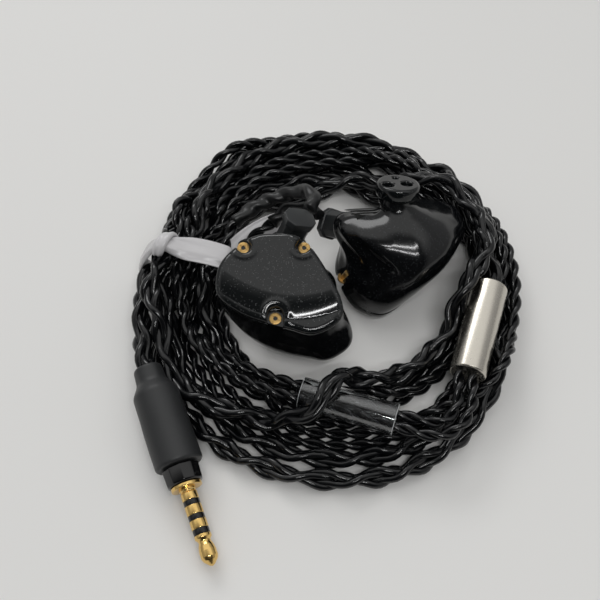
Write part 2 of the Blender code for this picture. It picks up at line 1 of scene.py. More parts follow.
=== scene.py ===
"""In ear monitors in the coil of their cable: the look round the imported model.

The layout is worked out in millimetres from a point near the coil's middle, and put() brings a
point into the model's frame in metres.
"""

import math

import bmesh
import bpy
import numpy as np
from mathutils import Matrix, Vector, noise


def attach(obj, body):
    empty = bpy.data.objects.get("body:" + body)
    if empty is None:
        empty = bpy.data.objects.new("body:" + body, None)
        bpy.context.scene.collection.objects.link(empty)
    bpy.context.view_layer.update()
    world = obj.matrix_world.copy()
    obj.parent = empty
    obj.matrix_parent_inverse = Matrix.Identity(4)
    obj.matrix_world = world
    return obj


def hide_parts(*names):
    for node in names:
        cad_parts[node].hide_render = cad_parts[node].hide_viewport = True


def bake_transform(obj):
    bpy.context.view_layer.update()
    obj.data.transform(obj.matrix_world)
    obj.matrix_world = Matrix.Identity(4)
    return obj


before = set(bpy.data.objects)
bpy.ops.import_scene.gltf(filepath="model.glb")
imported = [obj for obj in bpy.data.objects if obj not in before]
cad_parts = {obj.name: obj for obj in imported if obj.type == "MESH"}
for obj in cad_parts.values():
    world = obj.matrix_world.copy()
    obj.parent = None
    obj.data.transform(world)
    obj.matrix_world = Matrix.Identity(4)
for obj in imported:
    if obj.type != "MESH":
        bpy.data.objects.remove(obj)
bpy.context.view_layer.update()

MM = 0.001
PAIR_CENTRE = np.array((6.93, -0.24, 0.0))


def put(points):
    """Layout millimetres into the model's frame in metres."""
    return (np.asarray(points, float) - PAIR_CENTRE) * MM


def unit(vector):
    vector = np.asarray(vector, float)
    return vector / np.linalg.norm(vector)


def norms(vectors):
    return np.linalg.norm(vectors, axis=1)


def run_of(points):
    """How far along a line each of its points lies."""
    return np.concatenate(([0.0], np.cumsum(norms(np.diff(points, axis=0)))))


def points_at(points, run, at):
    """The places on a line at the given distances along it."""
    return np.stack([np.interp(at, run, column) for column in points.T], axis=1)


def curve(a, b, c, d, t):
    """A smooth curve from b to c, with a before and d after them."""
    return 0.5 * (2 * b + (c - a) * t + (2 * a - 5 * b + 4 * c - d) * t**2
                  + (3 * b - a - 3 * c + d) * t**3)


def angles_round(count):
    return np.arange(count) * math.tau / count


def circle(count):
    turn = angles_round(count)
    return np.stack((np.cos(turn), np.sin(turn)), axis=1)


def lift(flat, height):
    return np.column_stack((flat, np.full(len(flat), height)))


def rounding(share, most=0.999):
    """The drop of a rounded edge, from 0 where it starts to nearly 1 at its end."""
    return 1 - np.sqrt(1 - most * share**2)


def near_bearing(bearing, middle, width, power=4):
    """1 at a bearing, falling to 0 beyond the width."""
    return np.exp(-(((bearing - middle + 180) % 360 - 180) / width) ** power)


# ---- camera
CAMERA_TARGET = put((0.0, 0.0, 0.0))
CAMERA_DISTANCE = 0.165
CAMERA_ELEVATION = math.radians(60.0)
CAMERA_LENS = 60.4


def add_camera():
    data = bpy.data.cameras.new("camera")
    data.lens = CAMERA_LENS
    data.sensor_width = 36.0
    data.clip_start = 0.005
    data.clip_end = 5.0
    camera = bpy.data.objects.new("camera", data)
    bpy.context.scene.collection.objects.link(camera)
    back = Vector((0.0, -math.cos(CAMERA_ELEVATION), math.sin(CAMERA_ELEVATION)))
    camera.location = Vector(CAMERA_TARGET) + back * CAMERA_DISTANCE
    camera.rotation_euler = (math.pi / 2 - CAMERA_ELEVATION, 0.0, 0.0)
    bpy.context.scene.camera = camera


add_camera()

# ---- cords
COIL_CENTRE = np.array((4.0, 0.0, 0.0))
HOLE_RADIUS = 17.0
HOLE_SHIFT = (3.0, 1.3)
HOLE_BULGE = 4.5
TIE_BEARING = 169.0
TIE_REACH = 15.0
TIE_LIFT = 1.4
RIM_RADIUS = 31.6
RIM_OVAL = 1.2
RIM_CORNER = 1.4
RIM_BULGE = 1.3
RIM_WAIST = 2.8
COIL_TOP = 9.4
TIE_PRESS = 1.9
CURVE_PARTS = 16
ROUTE_STEP = 0.8
FULL_ROUNDS = 420
SLIDER_CLEARANCE = 0.35

# How settle() moves the turns in each round
SEARCH_EVERY = 10
CORD_SEARCH = 6.0
FIXED_SEARCH = 5.0
SMOOTHING = 0.25
STIFFNESS = 0.35
HOME_PULL = 0.02
WEIGHT = 0.035
END_HOLD = 0.2
PUSHES = 3

SPLITTER_LOWER = np.array((25.0, -17.0, 7.2))
SPLITTER_UPPER = np.array((29.8, -1.9, 7.2))
SPLITTER_RADIUS = 2.8
SLIDER_LEFT = np.array((0.2, -19.6, 6.5))
SLIDER_RIGHT = np.array((14.0, -24.0, 6.5))
SLIDER_RADIUS = 2.4

MAIN_RADIUS = 1.62
LEAD_RADIUS = 0.92
LEAD_ASIDE = 1.04
LEAD_WINDING = 1.05
BEARING_STEP = 4.0

LEAD_ROUTE = [
    (25.6, -15.2, 7.1), (24.6, -18.3, 7.1), (24.4, -21.2, 6.9), (23.0, -24.0, 6.7),
    (20.6, -25.5, 6.6), (17.8, -25.2, 6.5), (15.2, -24.38, 6.5), (11.0, -23.05, 6.5),
    (5.0, -21.13, 6.5), (0.2, -19.6, 6.5), (-4.4, -18.13, 6.5), (-8.4, -16.4, 6.4),
]
MAIN_START = [(29.2, -3.9, 7.2), (30.2, -0.6, 7.1), (30.6, 2.6, 6.6), (30.0, 6.4, 6.1)]
MAIN_END = [
    (-24.7, -7.0, 5.0), (-24.5, -9.4, 5.1), (-24.1, -12.0, 5.3), (-23.4, -14.6, 5.6),
    (-22.9, -16.2, 5.6),
]
LEFT_HOOK = [
    (1.5, 7.7, 14.6), (2.1, 9.6, 14.4), (1.7, 11.6, 13.6), (0.2, 13.0, 12.2), (-2.2, 13.6, 10.6),
    (-5.4, 13.0, 9.5), (-8.2, 11.4, 9.1), (-10.6, 9.2, 8.8),
]
RIGHT_HOOK = [
    (3.0, 9.9, 9.95), (2.0, 11.2, 9.5), (0.2, 12.4, 8.4), (-2.2, 12.6, 7.3), (-4.6, 11.0, 6.2),
]

# Each cord's way round the coil before it settles: bearing in degrees, radius and height
MAIN_TURNS = [
    (14, 26.8, 6.1), (45, 27.6, 5.4), (90, 28.6, 5.0), (135, 27.4, 5.0), (165, 25.6, 5.6),
    (195, 26.2, 5.4), (225, 27.2, 4.0), (270, 28.0, 1.7), (315, 29.0, 1.7), (360, 28.4, 1.7),
    (405, 26.2, 1.7), (450, 27.0, 1.7), (495, 25.2, 1.7), (525, 24.4, 3.2), (555, 26.0, 1.7),
    (585, 29.2, 1.7), (630, 31.0, 1.7), (675, 32.0, 1.7), (720, 25.0, 1.7),
    (765, 23.4, 1.7), (810, 24.0, 1.7), (855, 25.0, 4.0), (885, 27.0, 5.6), (915, 29.0, 6.2),
    (933, 29.2, 5.6), (941, 28.6, 5.8), (958, 26.1, 7.0), (980, 22.9, 10.4), (1007, 17.7, 9.0),
    (1042, 16.6, 7.4), (1077, 18.3, 6.6),
    (1125, 21.0, 6.0), (1170, 22.4, 5.4), (1215, 21.4, 5.0), (1245, 20.6, 5.4), (1275, 20.0, 4.6),
    (1305, 19.8, 3.0), (1350, 20.4, 1.7), (1385, 19.9, 3.0), (1420, 20.4, 3.6),
    (1440, 21.6, 3.6), (1485, 24.6, 3.8), (1530, 29.4, 2.4), (1575, 29.2, 2.4), (1605, 27.8, 4.4),
    (1634, 29.54, 5.0),
]
LEAD_TURNS = [
    (-127, 20.6, 6.4), (-160, 22.6, 6.4), (-195, 24.6, 7.0), (-225, 28.6, 5.6), (-250, 31.0, 4.0),
    (-275, 32.0, 3.0), (-300, 31.0, 2.6), (-330, 30.0, 2.4), (-360, 29.8, 2.2), (-405, 28.0, 2.0),
    (-450, 24.8, 1.2), (-480, 23.6, 1.2), (-525, 22.0, 2.6), (-555, 21.6, 3.6), (-585, 24.4, 4.6),
    (-630, 26.8, 5.0), (-675, 26.2, 5.0), (-720, 23.6, 5.0), (-765, 21.4, 4.6),
    (-800, 19.8, 3.0), (-845, 18.8, 2.4), (-885, 17.8, 4.4),
]
LEFT_LEAD_END = [(-912, 16.9, 7.4), (-932.2, 17.26, 8.8)]
RIGHT_LEAD_END = [(-918, 15.9, 4.8), (-938, 14.4, 5.4), (-952, 13.96, 6.2)]


def smooth_line(points, step):
    """Points along a smooth curve through the given ones, evenly spaced and about step apart."""
    points = np.asarray(points, float)
    padded = np.vstack((2 * points[0] - points[1], points, 2 * points[-1] - points[-2]))
    t = np.linspace(0, 1, CURVE_PARTS + 1)[:-1, None]
    fours = zip(padded, padded[1:], padded[2:], padded[3:])
    fine = np.vstack([curve(*four, t) for four in fours] + [points[-1:]])
    run = run_of(fine)
    return points_at(fine, run, np.linspace(0, run[-1], max(2, round(run[-1] / step) + 1)))


def near_tie(bearing):
    return near_bearing(bearing, TIE_BEARING, TIE_REACH)


def hole(bearing):
    """The radius that the coil's inside keeps clear, wider beside the rear earpiece."""
    turn = np.radians(bearing)
    round_hole = HOLE_RADIUS + HOLE_SHIFT[0] * np.cos(turn) + HOLE_SHIFT[1] * np.sin(turn)
    return round_hole + HOLE_BULGE * near_bearing(bearing, 27, 28)


def rim(bearing):
    """The radius that the coil's outside stays within, drawn in at the tie."""
    oval = RIM_RADIUS - RIM_OVAL * np.cos(2 * np.radians(bearing))
    corner = RIM_CORNER * near_bearing(bearing, 305, 35.0, 2)
    bulge = RIM_BULGE * near_bearing(bearing, 24, 34.0)
    return oval + corner + bulge - RIM_WAIST * near_tie(bearing)


def lead_start(side):
    """A lead's way from the splitter through the slider, beside the other one."""
    line = smooth_line(LEAD_ROUTE, ROUTE_STEP)
    ahead = np.gradient(line, axis=0)
    aside = np.stack((-ahead[:, 1], ahead[:, 0], 0 * ahead[:, 0]), axis=1)
    aside /= norms(aside)[:, None]
    return line + aside * side * LEAD_ASIDE


def turns(knots, ways):
    """Samples of a cord's way round at even bearings, each cord's grid the same."""
    knots = np.array(knots, float)
    first, last = knots[0, 0], knots[-1, 0]
    fine = smooth_line(knots * (0.4, 1.0, 1.0), 0.25) / (0.4, 1.0, 1.0)
    grid = np.arange(math.ceil(min(first, last) / BEARING_STEP + 0.3),
                     math.floor(max(first, last) / BEARING_STEP - 0.3) + 1) * BEARING_STEP
    order = np.argsort(fine[:, 0])
    radius = np.interp(grid, fine[order, 0], fine[order, 1])
    height = np.interp(grid, fine[order, 0], fine[order, 2])
    table = np.stack((grid, radius, height), axis=1)
    return table if ways > 0 else table[::-1]


def push_apart(gap, room):
    """The move along each gap that makes it as long as its room, and which ones need it."""
    distance = norms(gap)
    short = np.maximum(0.0, room - distance)
    return gap / np.maximum(distance, 1e-6)[:, None] * short[:, None], (short > 0).astype(float)


def push_off_rod(points, radii, start, end, thick):
    """How far each point has to go to be outside a rod."""
    along = end - start
    share = np.clip(((points - start) @ along) / (along @ along), 0, 1)
    return push_apart(points - (start + share[:, None] * along), thick + radii)[0]


def square_distances(points, others):
    gap = points[:, None] - others[None]
    return np.einsum("ijk,ijk->ij", gap, gap)


def settle(cords, fixed, rounds):
    """Lays the turns on the table and on each other.

    cords are (bearing, radius, height) tables with their thickness and the (radius, height) that
    each end goes on to, and each point keeps its bearing. fixed are points that don't move, with
    their thickness and the number of the cord that they are on.
    """
    tables, thicks, ends = zip(*cords)
    sizes = [len(table) for table in tables]
    owner = np.repeat(np.arange(len(cords)), sizes)
    index = np.concatenate([np.arange(n) for n in sizes])
    bearing, state = np.vstack(tables)[:, 0].copy(), np.vstack(tables)[:, 1:].copy()
    thick = np.repeat(thicks, sizes)
    turn = np.radians(bearing)
    out = np.stack((np.cos(turn), np.sin(turn), 0 * turn), axis=1)
    wanted = state.copy()
    lines, still_thick, still_owner = zip(*fixed)
    still = np.vstack(lines)
    still_thick, still_owner = (np.repeat(values, [len(line) for line in lines])
                                for values in (still_thick, still_owner))
    tie = near_tie(bearing)
    starts = np.flatnonzero(index == 0)
    stops = np.append(starts[1:], len(index)) - 1
    head, foot = np.array(ends).swapaxes(0, 1)
    inner, outer = hole(bearing) + thick, rim(bearing) - thick
    span = np.array(sizes)[owner]
    near_end = np.minimum(index, span - 1 - index)
    hold = np.exp(-(near_end / 4.0) ** 2)

    def place():
        return COIL_CENTRE + out * state[:, :1] + np.array((0, 0, 1.0)) * state[:, 1:]

    def one_back(values):
        values = np.vstack((values[:1], values[:-1]))
        values[starts] = head
        return values

    def one_on(values):
        values = np.vstack((values[1:], values[-1:]))
        values[stops] = foot
        return values

    for step in range(rounds):
        if step % SEARCH_EVERY == 0:
            points = place()
            same = owner[:, None] == owner[None]
            beside = same & (np.abs(index[:, None] - index[None]) < 12)
            close = square_distances(points, points) < CORD_SEARCH**2
            a, b = np.nonzero(np.triu(close & ~beside, 1))
            own = (owner[:, None] == still_owner[None]) & (near_end[:, None] < 8)
            c, d = np.nonzero((square_distances(points, still) < FIXED_SEARCH**2) & ~own)
        share = step / rounds
        before, after = one_back(state), one_on(state)
        smooth = 0.5 * (before + after)
        stiff = (4 * (before + after) - one_on(after) - one_back(before)) / 6
        smoothing = SMOOTHING * (smooth - state) * (0.3 + 0.7 * (1 - share))
        state = state + smoothing + STIFFNESS * (stiff - state)
        state[:, 0] += HOME_PULL * (1 - hold) * (wanted[:, 0] - state[:, 0])
        state[:, 1] -= WEIGHT * (1 - hold) * (1 - tie)
        state += END_HOLD * hold[:, None] * (wanted - state)
        for _again in range(PUSHES):
            points = place()
            move = np.zeros_like(points)
            count = np.zeros(len(points))
            push, hit = push_apart(points[a] - points[b], thick[a] + thick[b])
            np.add.at(move, a, push * 0.5)
            np.add.at(move, b, -push * 0.5)
            np.add.at(count, a, hit)
            np.add.at(count, b, hit)
            push, hit = push_apart(points[c] - still[d], thick[c] + still_thick[d])
            np.add.at(move, c, push)
            np.add.at(count, c, hit)
            move /= np.maximum(1.0, 0.6 * count)[:, None]
            for start, end, radius in RODS:
                move += push_off_rod(points, thick, start, end, radius) * (near_end > 5)[:, None]
            state[:, 0] += (move * out).sum(1)
            state[:, 1] += move[:, 2]
            state[:, 1] = np.maximum(state[:, 1], thick + TIE_LIFT * tie)
            over = np.maximum(0.0, state[:, 1] - COIL_TOP + TIE_PRESS * tie) * (near_end > 5)
            state[:, 1] -= (0.1 + 0.25 * tie) * over
            state[:, 0] += 0.5 * np.maximum(0.0, inner - state[:, 0]) * (near_end > 7)
            state[:, 0] -= 0.5 * np.maximum(0.0, state[:, 0] - outer) * (near_end > 5)
    return [place()[owner == k] for k in range(len(cords))]


RODS = [
    (SPLITTER_LOWER, SPLITTER_UPPER, SPLITTER_RADIUS),
    (SLIDER_LEFT, SLIDER_RIGHT, SLIDER_RADIUS + SLIDER_CLEARANCE),
]


def radius_height(point):
    away = np.asarray(point, float) - COIL_CENTRE
    return math.hypot(away[0], away[1]), away[2]


def lead_turns(side, end):
    """A lead's way round, wound about the other lead's."""
    table = turns(LEAD_TURNS + end, -1)
    place = np.arange(len(table))
    far = np.clip((place - 2) / 10, 0, 1)
    back = np.clip((len(table) - place) / 20, 0, 1)
    table[:, 1] += LEAD_WINDING * side * np.cos(place * 0.11) * far * back
    table[:, 2] += LEAD_WINDING * side * np.sin(place * 0.11) * far * back
    return table


def coil_lines():
    """The centre lines of the main cable and the two leads."""
    tables = [turns(MAIN_TURNS, 1), lead_turns(1, LEFT_LEAD_END), lead_turns(-1, RIGHT_LEAD_END)]
    starts = [np.array(MAIN_START), lead_start(1), lead_start(-1)]
    stops = [MAIN_END, LEFT_HOOK[:-3:-1], RIGHT_HOOK[:-3:-1]]
    ends = [(radius_height(start[-1]), radius_height(stop[0]))
            for start, stop in zip(starts, stops)]
    fixed = [
        (smooth_line(MAIN_START, ROUTE_STEP), MAIN_RADIUS, 0),
        (smooth_line(MAIN_END, ROUTE_STEP), MAIN_RADIUS, 0),
        (starts[1], LEAD_RADIUS, 1),
        (starts[2], LEAD_RADIUS, 2),
    ]
    cords = list(zip(tables, (MAIN_RADIUS, LEAD_RADIUS, LEAD_RADIUS), ends))
    settled = settle(cords, fixed, FULL_ROUNDS)
    return [np.vstack(parts) for parts in zip(starts, settled, stops)]


# ---- meshes
def add_mesh(name, points, faces, material):
    """A smooth mesh object from layout millimetres."""
    mesh = bpy.data.meshes.new(name)
    mesh.from_pydata(put(points).tolist(), [], [tuple(int(i) for i in face) for face in faces])
    mesh.update()
    made = bpy.data.objects.new(name, mesh)
    bpy.context.scene.collection.objects.link(made)
    mesh.shade_smooth()
    mesh.materials.append(material)
    return made


def ring_faces(rows, sides, first=0, loop=False):
    """Faces of rings of points one after another, with a cap at each end or back to the first."""
    faces = []
    for row in range(rows if loop else rows - 1):
        here, there = first + row * sides, first + (row + 1) % rows * sides
        for i in range(sides):
            j = (i + 1) % sides
            faces.append((here + i, here + j, there + j, there + i))
    if not loop:
        last = first + (rows - 1) * sides
        faces += [tuple(range(first, first + sides))[::-1], tuple(range(last, last + sides))]
    return faces


def along_frames(line):
    """Directions aside and above at each point of a line, without twist."""
    ahead = np.gradient(line, axis=0)
    ahead /= norms(ahead)[:, None]
    side = np.cross(ahead[0], (0.0, 0.0, 1.0))
    sides = []
    for step in ahead:
        side = side - step * (step @ side)
        side = side / np.linalg.norm(side)
        sides.append(side)
    return np.array(sides), np.cross(ahead, sides)


def tube_points(line, radius, sides):
    """Rings round a line; radius is a number, or a value for each point and side."""
    aside, above = along_frames(line)
    turn = angles_round(sides)
    x = (radius * np.cos(turn)) * np.ones((len(line), 1))
    y = (radius * np.sin(turn)) * np.ones((len(line), 1))
    return line[:, None] + aside[:, None] * x[..., None] + above[:, None] * y[..., None]


def add_tubes(name, lines, radius):
    """One mesh of a cord's strands."""
    points, faces = [], []
    for line in lines:
        faces += ring_faces(len(line), STRAND_SIDES, len(points) * len(line) * STRAND_SIDES)
        points.append(tube_points(line, radius, STRAND_SIDES).reshape(-1, 3))
    return add_mesh(name, np.vstack(points), faces, JACKET)


def recalculate(made):
    shape = bmesh.new()
    shape.from_mesh(made.data)
    bmesh.ops.recalc_face_normals(shape, faces=shape.faces)
    shape.to_mesh(made.data)
    shape.free()
    return made


# ---- materials
def feed(tree, node, **inputs):
    """Sets a node's inputs to values or to other nodes' outputs. _0 is the first input."""
    for key, value in inputs.items():
        socket = node.inputs[int(key[1:]) if key[0] == "_" else key.replace("_", " ")]
        if isinstance(value, bpy.types.NodeSocket):
            tree.links.new(value, socket)
        else:
            socket.default_value = value


def add_node(tree, kind, settings=None, **inputs):
    node = tree.nodes.new(kind)
    for key, value in (settings or {}).items():
        setattr(node, key, value)
    feed(tree, node, **inputs)
    return node


def principled(name, colour, roughness, **values):
    made = bpy.data.materials.new(name)
    made.use_nodes = True
    shader = made.node_tree.nodes["Principled BSDF"]
    feed(made.node_tree, shader, Base_Color=(*colour, 1.0), Roughness=roughness, **values)
    return made, made.node_tree, shader


def grain(tree, shader, scale, strength, distance=0.0001, rough=None):
    """A fine procedural bump, and a slight change of roughness with it."""
    place = add_node(tree, "ShaderNodeTexCoord").outputs["Object"]
    pattern = add_node(tree, "ShaderNodeTexNoise", Scale=scale, Detail=4.0, Vector=place)
    bump = add_node(tree, "ShaderNodeBump", Strength=strength, Distance=distance,
                    Height=pattern.outputs["Fac"])
    feed(tree, shader, Normal=bump.outputs["Normal"])
    if rough:
        ramp = add_node(tree, "ShaderNodeMapRange", Value=pattern.outputs["Fac"],
                        To_Min=rough[0], To_Max=rough[1])
        feed(tree, shader, Roughness=ramp.outputs["Result"])


def flecked_resin(name, colour, fleck, roughness):
    """Glossy resin with fine silver flecks under its surface."""
    made, tree, shader = principled(name, colour, roughness)
    place = add_node(tree, "ShaderNodeTexCoord").outputs["Object"]
    cells = add_node(tree, "ShaderNodeTexVoronoi", Scale=FLECK_SCALE, Vector=place)
    chance = add_node(tree, "ShaderNodeSeparateColor", Color=cells.outputs["Color"])
    pick = add_node(tree, "ShaderNodeMath", {"operation": "GREATER_THAN"},
                    _0=chance.outputs["Red"], _1=FLECK_FROM)
    near = add_node(tree, "ShaderNodeMath", {"operation": "LESS_THAN"},
                    _0=cells.outputs["Distance"], _1=FLECK_REACH)
    both = add_node(tree, "ShaderNodeMath", {"operation": "MULTIPLY"},
                    _0=pick.outputs[0], _1=near.outputs[0])
    dim = add_node(tree, "ShaderNodeMath", {"operation": "MULTIPLY"},
                   _0=both.outputs[0], _1=chance.outputs["Green"])
    mix = add_node(tree, "ShaderNodeMix", {"data_type": "RGBA"}, Factor=dim.outputs[0],
                   A=(*colour, 1.0), B=(*fleck, 1.0))
    feed(tree, shader, Base_Color=mix.outputs["Result"])
    return made


def rubbery(name, colour, roughness, scale=2500.0, strength=0.12, less=0.06):
    made, tree, shader = principled(name, colour, roughness)
    grain(tree, shader, scale, strength, rough=(roughness - less, roughness + 0.06))
    return made


def metal(name, colour, roughness, scale=1500.0, strength=0.05):
    made, tree, shader = principled(name, colour, roughness, Metallic=1.0)
    grain(tree, shader, scale, strength, rough=(roughness - 0.05, roughness + 0.08))
    return made


def clear_tube():
    made, tree, shader = principled(
        "clear_plastic", (0.90, 0.92, 0.93), 0.05, Transmission_Weight=1.0, IOR=1.49,
        Specular_IOR_Level=0.9, Coat_Weight=1.0)
    grain(tree, shader, 600.0, 0.03)
    return made


# Flecks in a metre, the share of them left out, and how far each reaches
FLECK_SCALE = 5600.0
FLECK_FROM = 0.80
FLECK_REACH = 0.42
RESIN = flecked_resin("resin_shell", (0.0030, 0.0034, 0.004), (0.035, 0.037, 0.040), 0.13)
PLATE = flecked_resin("resin_plate", (0.003, 0.004, 0.0045), (0.085, 0.088, 0.088), 0.08)
JACKET = rubbery("cable_jacket", (0.0022, 0.0025, 0.0032), 0.16, 1800.0, 0.05, 0.05)
SHRINK = rubbery("heat_shrink", (0.020, 0.021, 0.022), 0.48)
HOOK_SHRINK = rubbery("hook_heat_shrink", (0.004, 0.0045, 0.005), 0.36)
CONNECTOR = rubbery("connector_plastic", (0.018, 0.020, 0.021), 0.38, scale=4000.0, strength=0.08)
GLOSS = rubbery("gloss_black", (0.004, 0.004, 0.0045), 0.12, strength=0.03)
GOLD = metal("gold_contact", (0.83, 0.56, 0.20), 0.16)
BRASS = metal("brass", (0.52, 0.34, 0.13), 0.40, scale=3000.0, strength=0.5)
NICKEL = metal("nickel", (0.62, 0.585, 0.52), 0.24)
STEEL = metal("driver_steel", (0.55, 0.56, 0.57), 0.35)
BOARD = rubbery("board", (0.02, 0.16, 0.08), 0.5)
TUBING = rubbery("sound_tubing", (0.7, 0.71, 0.71), 0.35)
SOCKET = rubbery("socket_plastic", (0.012, 0.012, 0.012), 0.5)
CLEAR = clear_tube()
# Light grey opaque colour for the slider's end faces: a painted highlight standing for the bright
# rims at the clear tube's ends
SLIDER_END_HIGHLIGHT = rubbery("slider_end_painted_highlight", (0.72, 0.74, 0.75), 0.35)
TIE = rubbery("tie_plastic", (0.60, 0.59, 0.60), 0.25, scale=900.0, strength=0.25)


# ---- the cable
STRAND_SIDES = 10
STRAND_RADIUS = 0.6
BRAID_RADIUS = 0.8
BRAID_SWING = 0.34
BRAID_PERIOD = 15.0
MAIN_STEP = 0.6
LEAD_STEP = 0.5
LEAD_STRAND_RADIUS = 0.475
LEAD_PERIOD = 6.4


def wound(line, angles, reach):
    aside, above = along_frames(line)
    across = aside * np.cos(angles)[:, None] + above * np.sin(angles)[:, None]
    return line + across * np.asarray(reach).reshape(-1, 1)


def braid_strands(line):
    """Four strands, two each way round, that pass over and under each other."""
    run = np.arange(len(line)) * MAIN_STEP
    sway = 0.25 * np.sin(run * 0.21) + 0.2 * np.sin(run * 0.083 + 1.0)
    turn = run * math.tau / BRAID_PERIOD + sway
    reach = BRAID_RADIUS + BRAID_SWING * np.cos(2 * (turn - math.pi / 4))
    strands = [wound(line, turn + start, reach) for start in (0.0, math.pi)]
    reach = BRAID_RADIUS - BRAID_SWING * np.cos(2 * (turn - math.pi / 4))
    return strands + [wound(line, start - turn, reach) for start in (math.pi / 2, -math.pi / 2)]


def twisted_strands(line):
    run = np.arange(len(line)) * LEAD_STEP
    turn = run * math.tau / LEAD_PERIOD + 0.5 * np.sin(run * 0.17)
    reach = np.full(len(line), LEAD_STRAND_RADIUS)
    return [wound(line, turn + start, reach) for start in (0.0, math.pi)]


main_line, left_line, right_line = coil_lines()
main_line = smooth_line(main_line, MAIN_STEP)
left_line = smooth_line(left_line, LEAD_STEP)
right_line = smooth_line(right_line, LEAD_STEP)

main_cable = add_tubes("main_cable", braid_strands(main_line), STRAND_RADIUS)
left_lead = add_tubes("left_lead", twisted_strands(left_line), LEAD_STRAND_RADIUS)
right_lead = add_tubes("right_lead", twisted_strands(right_line), LEAD_STRAND_RADIUS)


# ---- earpieces
OUTLINE = [
    (-4.2, 7.3), (0.0, 7.9), (2.6, 7.6), (5.1, 5.2), (7.9, 0.3), (9.4, -3.5), (8.6, -6.0),
    (5.1, -7.7), (1.5, -6.9), (-4.6, -5.0), (-8.6, -2.3), (-9.4, 0.4), (-8.2, 3.9),
]
PLATE_THICK = 1.6
CREASE_LOWEST = (2.5, -2.2)
CREASE_BEND = 0.035
ROLL_SLOPE = 0.10
ROLL_BEND = 0.03
ROLL_DEPTH = 0.7
EDGE_REACH = 0.95
EDGE_DROP = 0.62
NOTCHES = [((-0.5, -4.9), 270.0, 1.15), ((3.5, 5.7), 50.0, 1.1), ((-5.2, 5.7), 125.0, 1.1)]
SCREW_OUT = 0.35
RIM_WIDTH = 2.3
WALL = 0.9
NOZZLE_AXIS = unit((0.52, 0.33, -0.79))
NOZZLE_TIP = np.array((6.3, 4.8, -15.2))
NECK_LEAN = math.degrees(math.acos(-NOZZLE_AXIS[2]))
CAP_RADIUS = 3.4
CAP_THICK = 2.3
NECK_RADIUS = 2.6
CANAL_RADIUS = 1.95
BORES = [((-1.6, -1.05), 0.94), ((1.25, -0.1), 0.94), ((-0.5, 1.75), 0.5)]
SECTIONS = [
    ((0.0, 0.0, -1.62), 0, 0.985, 0.0, 8.0, (0.0, 1.5)),
    ((0.3, -0.4, -4.4), 0, 1.00, 0.0, 8.0, (1.7, 1.5)),
    ((1.3, -1.2, -6.9), 3, 1.00, 0.05, 8.2, (4.3, -0.5)),
    ((2.4, -2.0, -9.3), 9, 0.96, 0.15, 7.8, (5.4, -2.9)),
    ((3.1, -1.7, -11.1), 17, 0.85, 0.35, 6.9, (5.0, -4.4)),
    ((3.6, -0.2, -12.0), 26, 0.66, 0.65, 5.4, (2.4, -4.8)),
    ((4.1, 1.6, -12.2), 34, 0.51, 0.90, 4.0, (0.3, -4.0)),
    ((4.4, 2.8, -12.3), 38, 0.40, 1.0, 3.15, (0.0, 0.0)),
]
NO_BOSS = (0.0, 0.0)
BOSS_HALF_WIDTH = 4.0
PIN_AXIS = unit((0.38, 0.39, 0.836))
FLANGE_MIDDLE = np.array((3.2, 11.0, -1.4))
HOUSING_LENGTH = 6.6
HOUSING_SIZE = (4.3, 3.4)
FLANGE_SIZE = (4.9, 3.9)
FLANGE_THICK = 1.3
CORNER_CUT = 0.95
SOCKET_SIZE = (4.0, 2.4, 2.9)
GAP = 0.3
FIT = 0.1
PIN_ASIDE = 1.0
PIN_HOLE = 0.45
EARPIECES = {
    "left": (1, (-3.1, -6.3, 16.4), 0.0, (9.8, -90.0)),
    "right": (-1, (13.4, 4.9, 1.75), 74.0, (18.0, -20.0)),
}


def turned(axis, degrees):
    """A rotation matrix."""
    return np.array(Matrix.Rotation(math.radians(degrees), 3, Vector(axis)))


def earpiece_turn(side, turn, lean):
    bearing = math.radians(lean[1])
    rotation = turned((-math.sin(bearing), math.cos(bearing), 0), lean[0]) @ turned((0, 0, 1), turn)
    return rotation @ turned((0, 1, 0), 180.0) if side < 0 else rotation


def outline(count):
    """The faceplate's outline, as evenly spaced points from its first corner round to it again."""
    fine = smooth_line(OUTLINE[-2:] + OUTLINE + OUTLINE[:3], 0.02)
    away = norms(fine - OUTLINE[0])
    half = len(fine) // 2
    start, stop = int(np.argmin(away[:half])), half + int(np.argmin(away[half:]))
    fine = fine[start:stop + 1]
    run = run_of(fine)
    return points_at(fine, run, np.arange(count) * run[-1] / count)


def section_ring(section, inset, count):
    middle, lean, size, roundness, radius, (boss, boss_middle) = section
    flat = outline(count)
    ring = flat * size * (1 - roundness) + flat / norms(flat)[:, None] * radius * roundness
    ring = ring * (1 - inset / norms(ring)[:, None])
    swell = boss * np.exp(-((ring[:, 0] - boss_middle) / BOSS_HALF_WIDTH) ** 4) * (ring[:, 1] > 0)
    ring = np.stack((ring[:, 0], ring[:, 1] + swell, 0 * swell), axis=1)
    towards = unit((NOZZLE_AXIS[0], NOZZLE_AXIS[1], 0))
    hinge = np.cross((0, 0, -1), towards)
    return ring @ turned(hinge, lean).T + np.array(middle)


def neck_ring(along, radius, count):
    middle = NOZZLE_TIP - NOZZLE_AXIS * along
    return section_ring((middle, NECK_LEAN, 1.0, 1.0, radius, NO_BOSS), 0.0, count)


def loft(rings, parts):
    """More rings between the given ones, along a smooth curve for each point."""
    rings = np.array(rings)
    padded = np.concatenate((2 * rings[:1] - rings[1:2], rings, 2 * rings[-1:] - rings[-2:-1]))
    result = []
    for a, b, c, d in zip(padded, padded[1:], padded[2:], padded[3:]):
        result += [curve(a, b, c, d, k / parts) for k in range(parts)]
    return np.array(result + [rings[-1]])


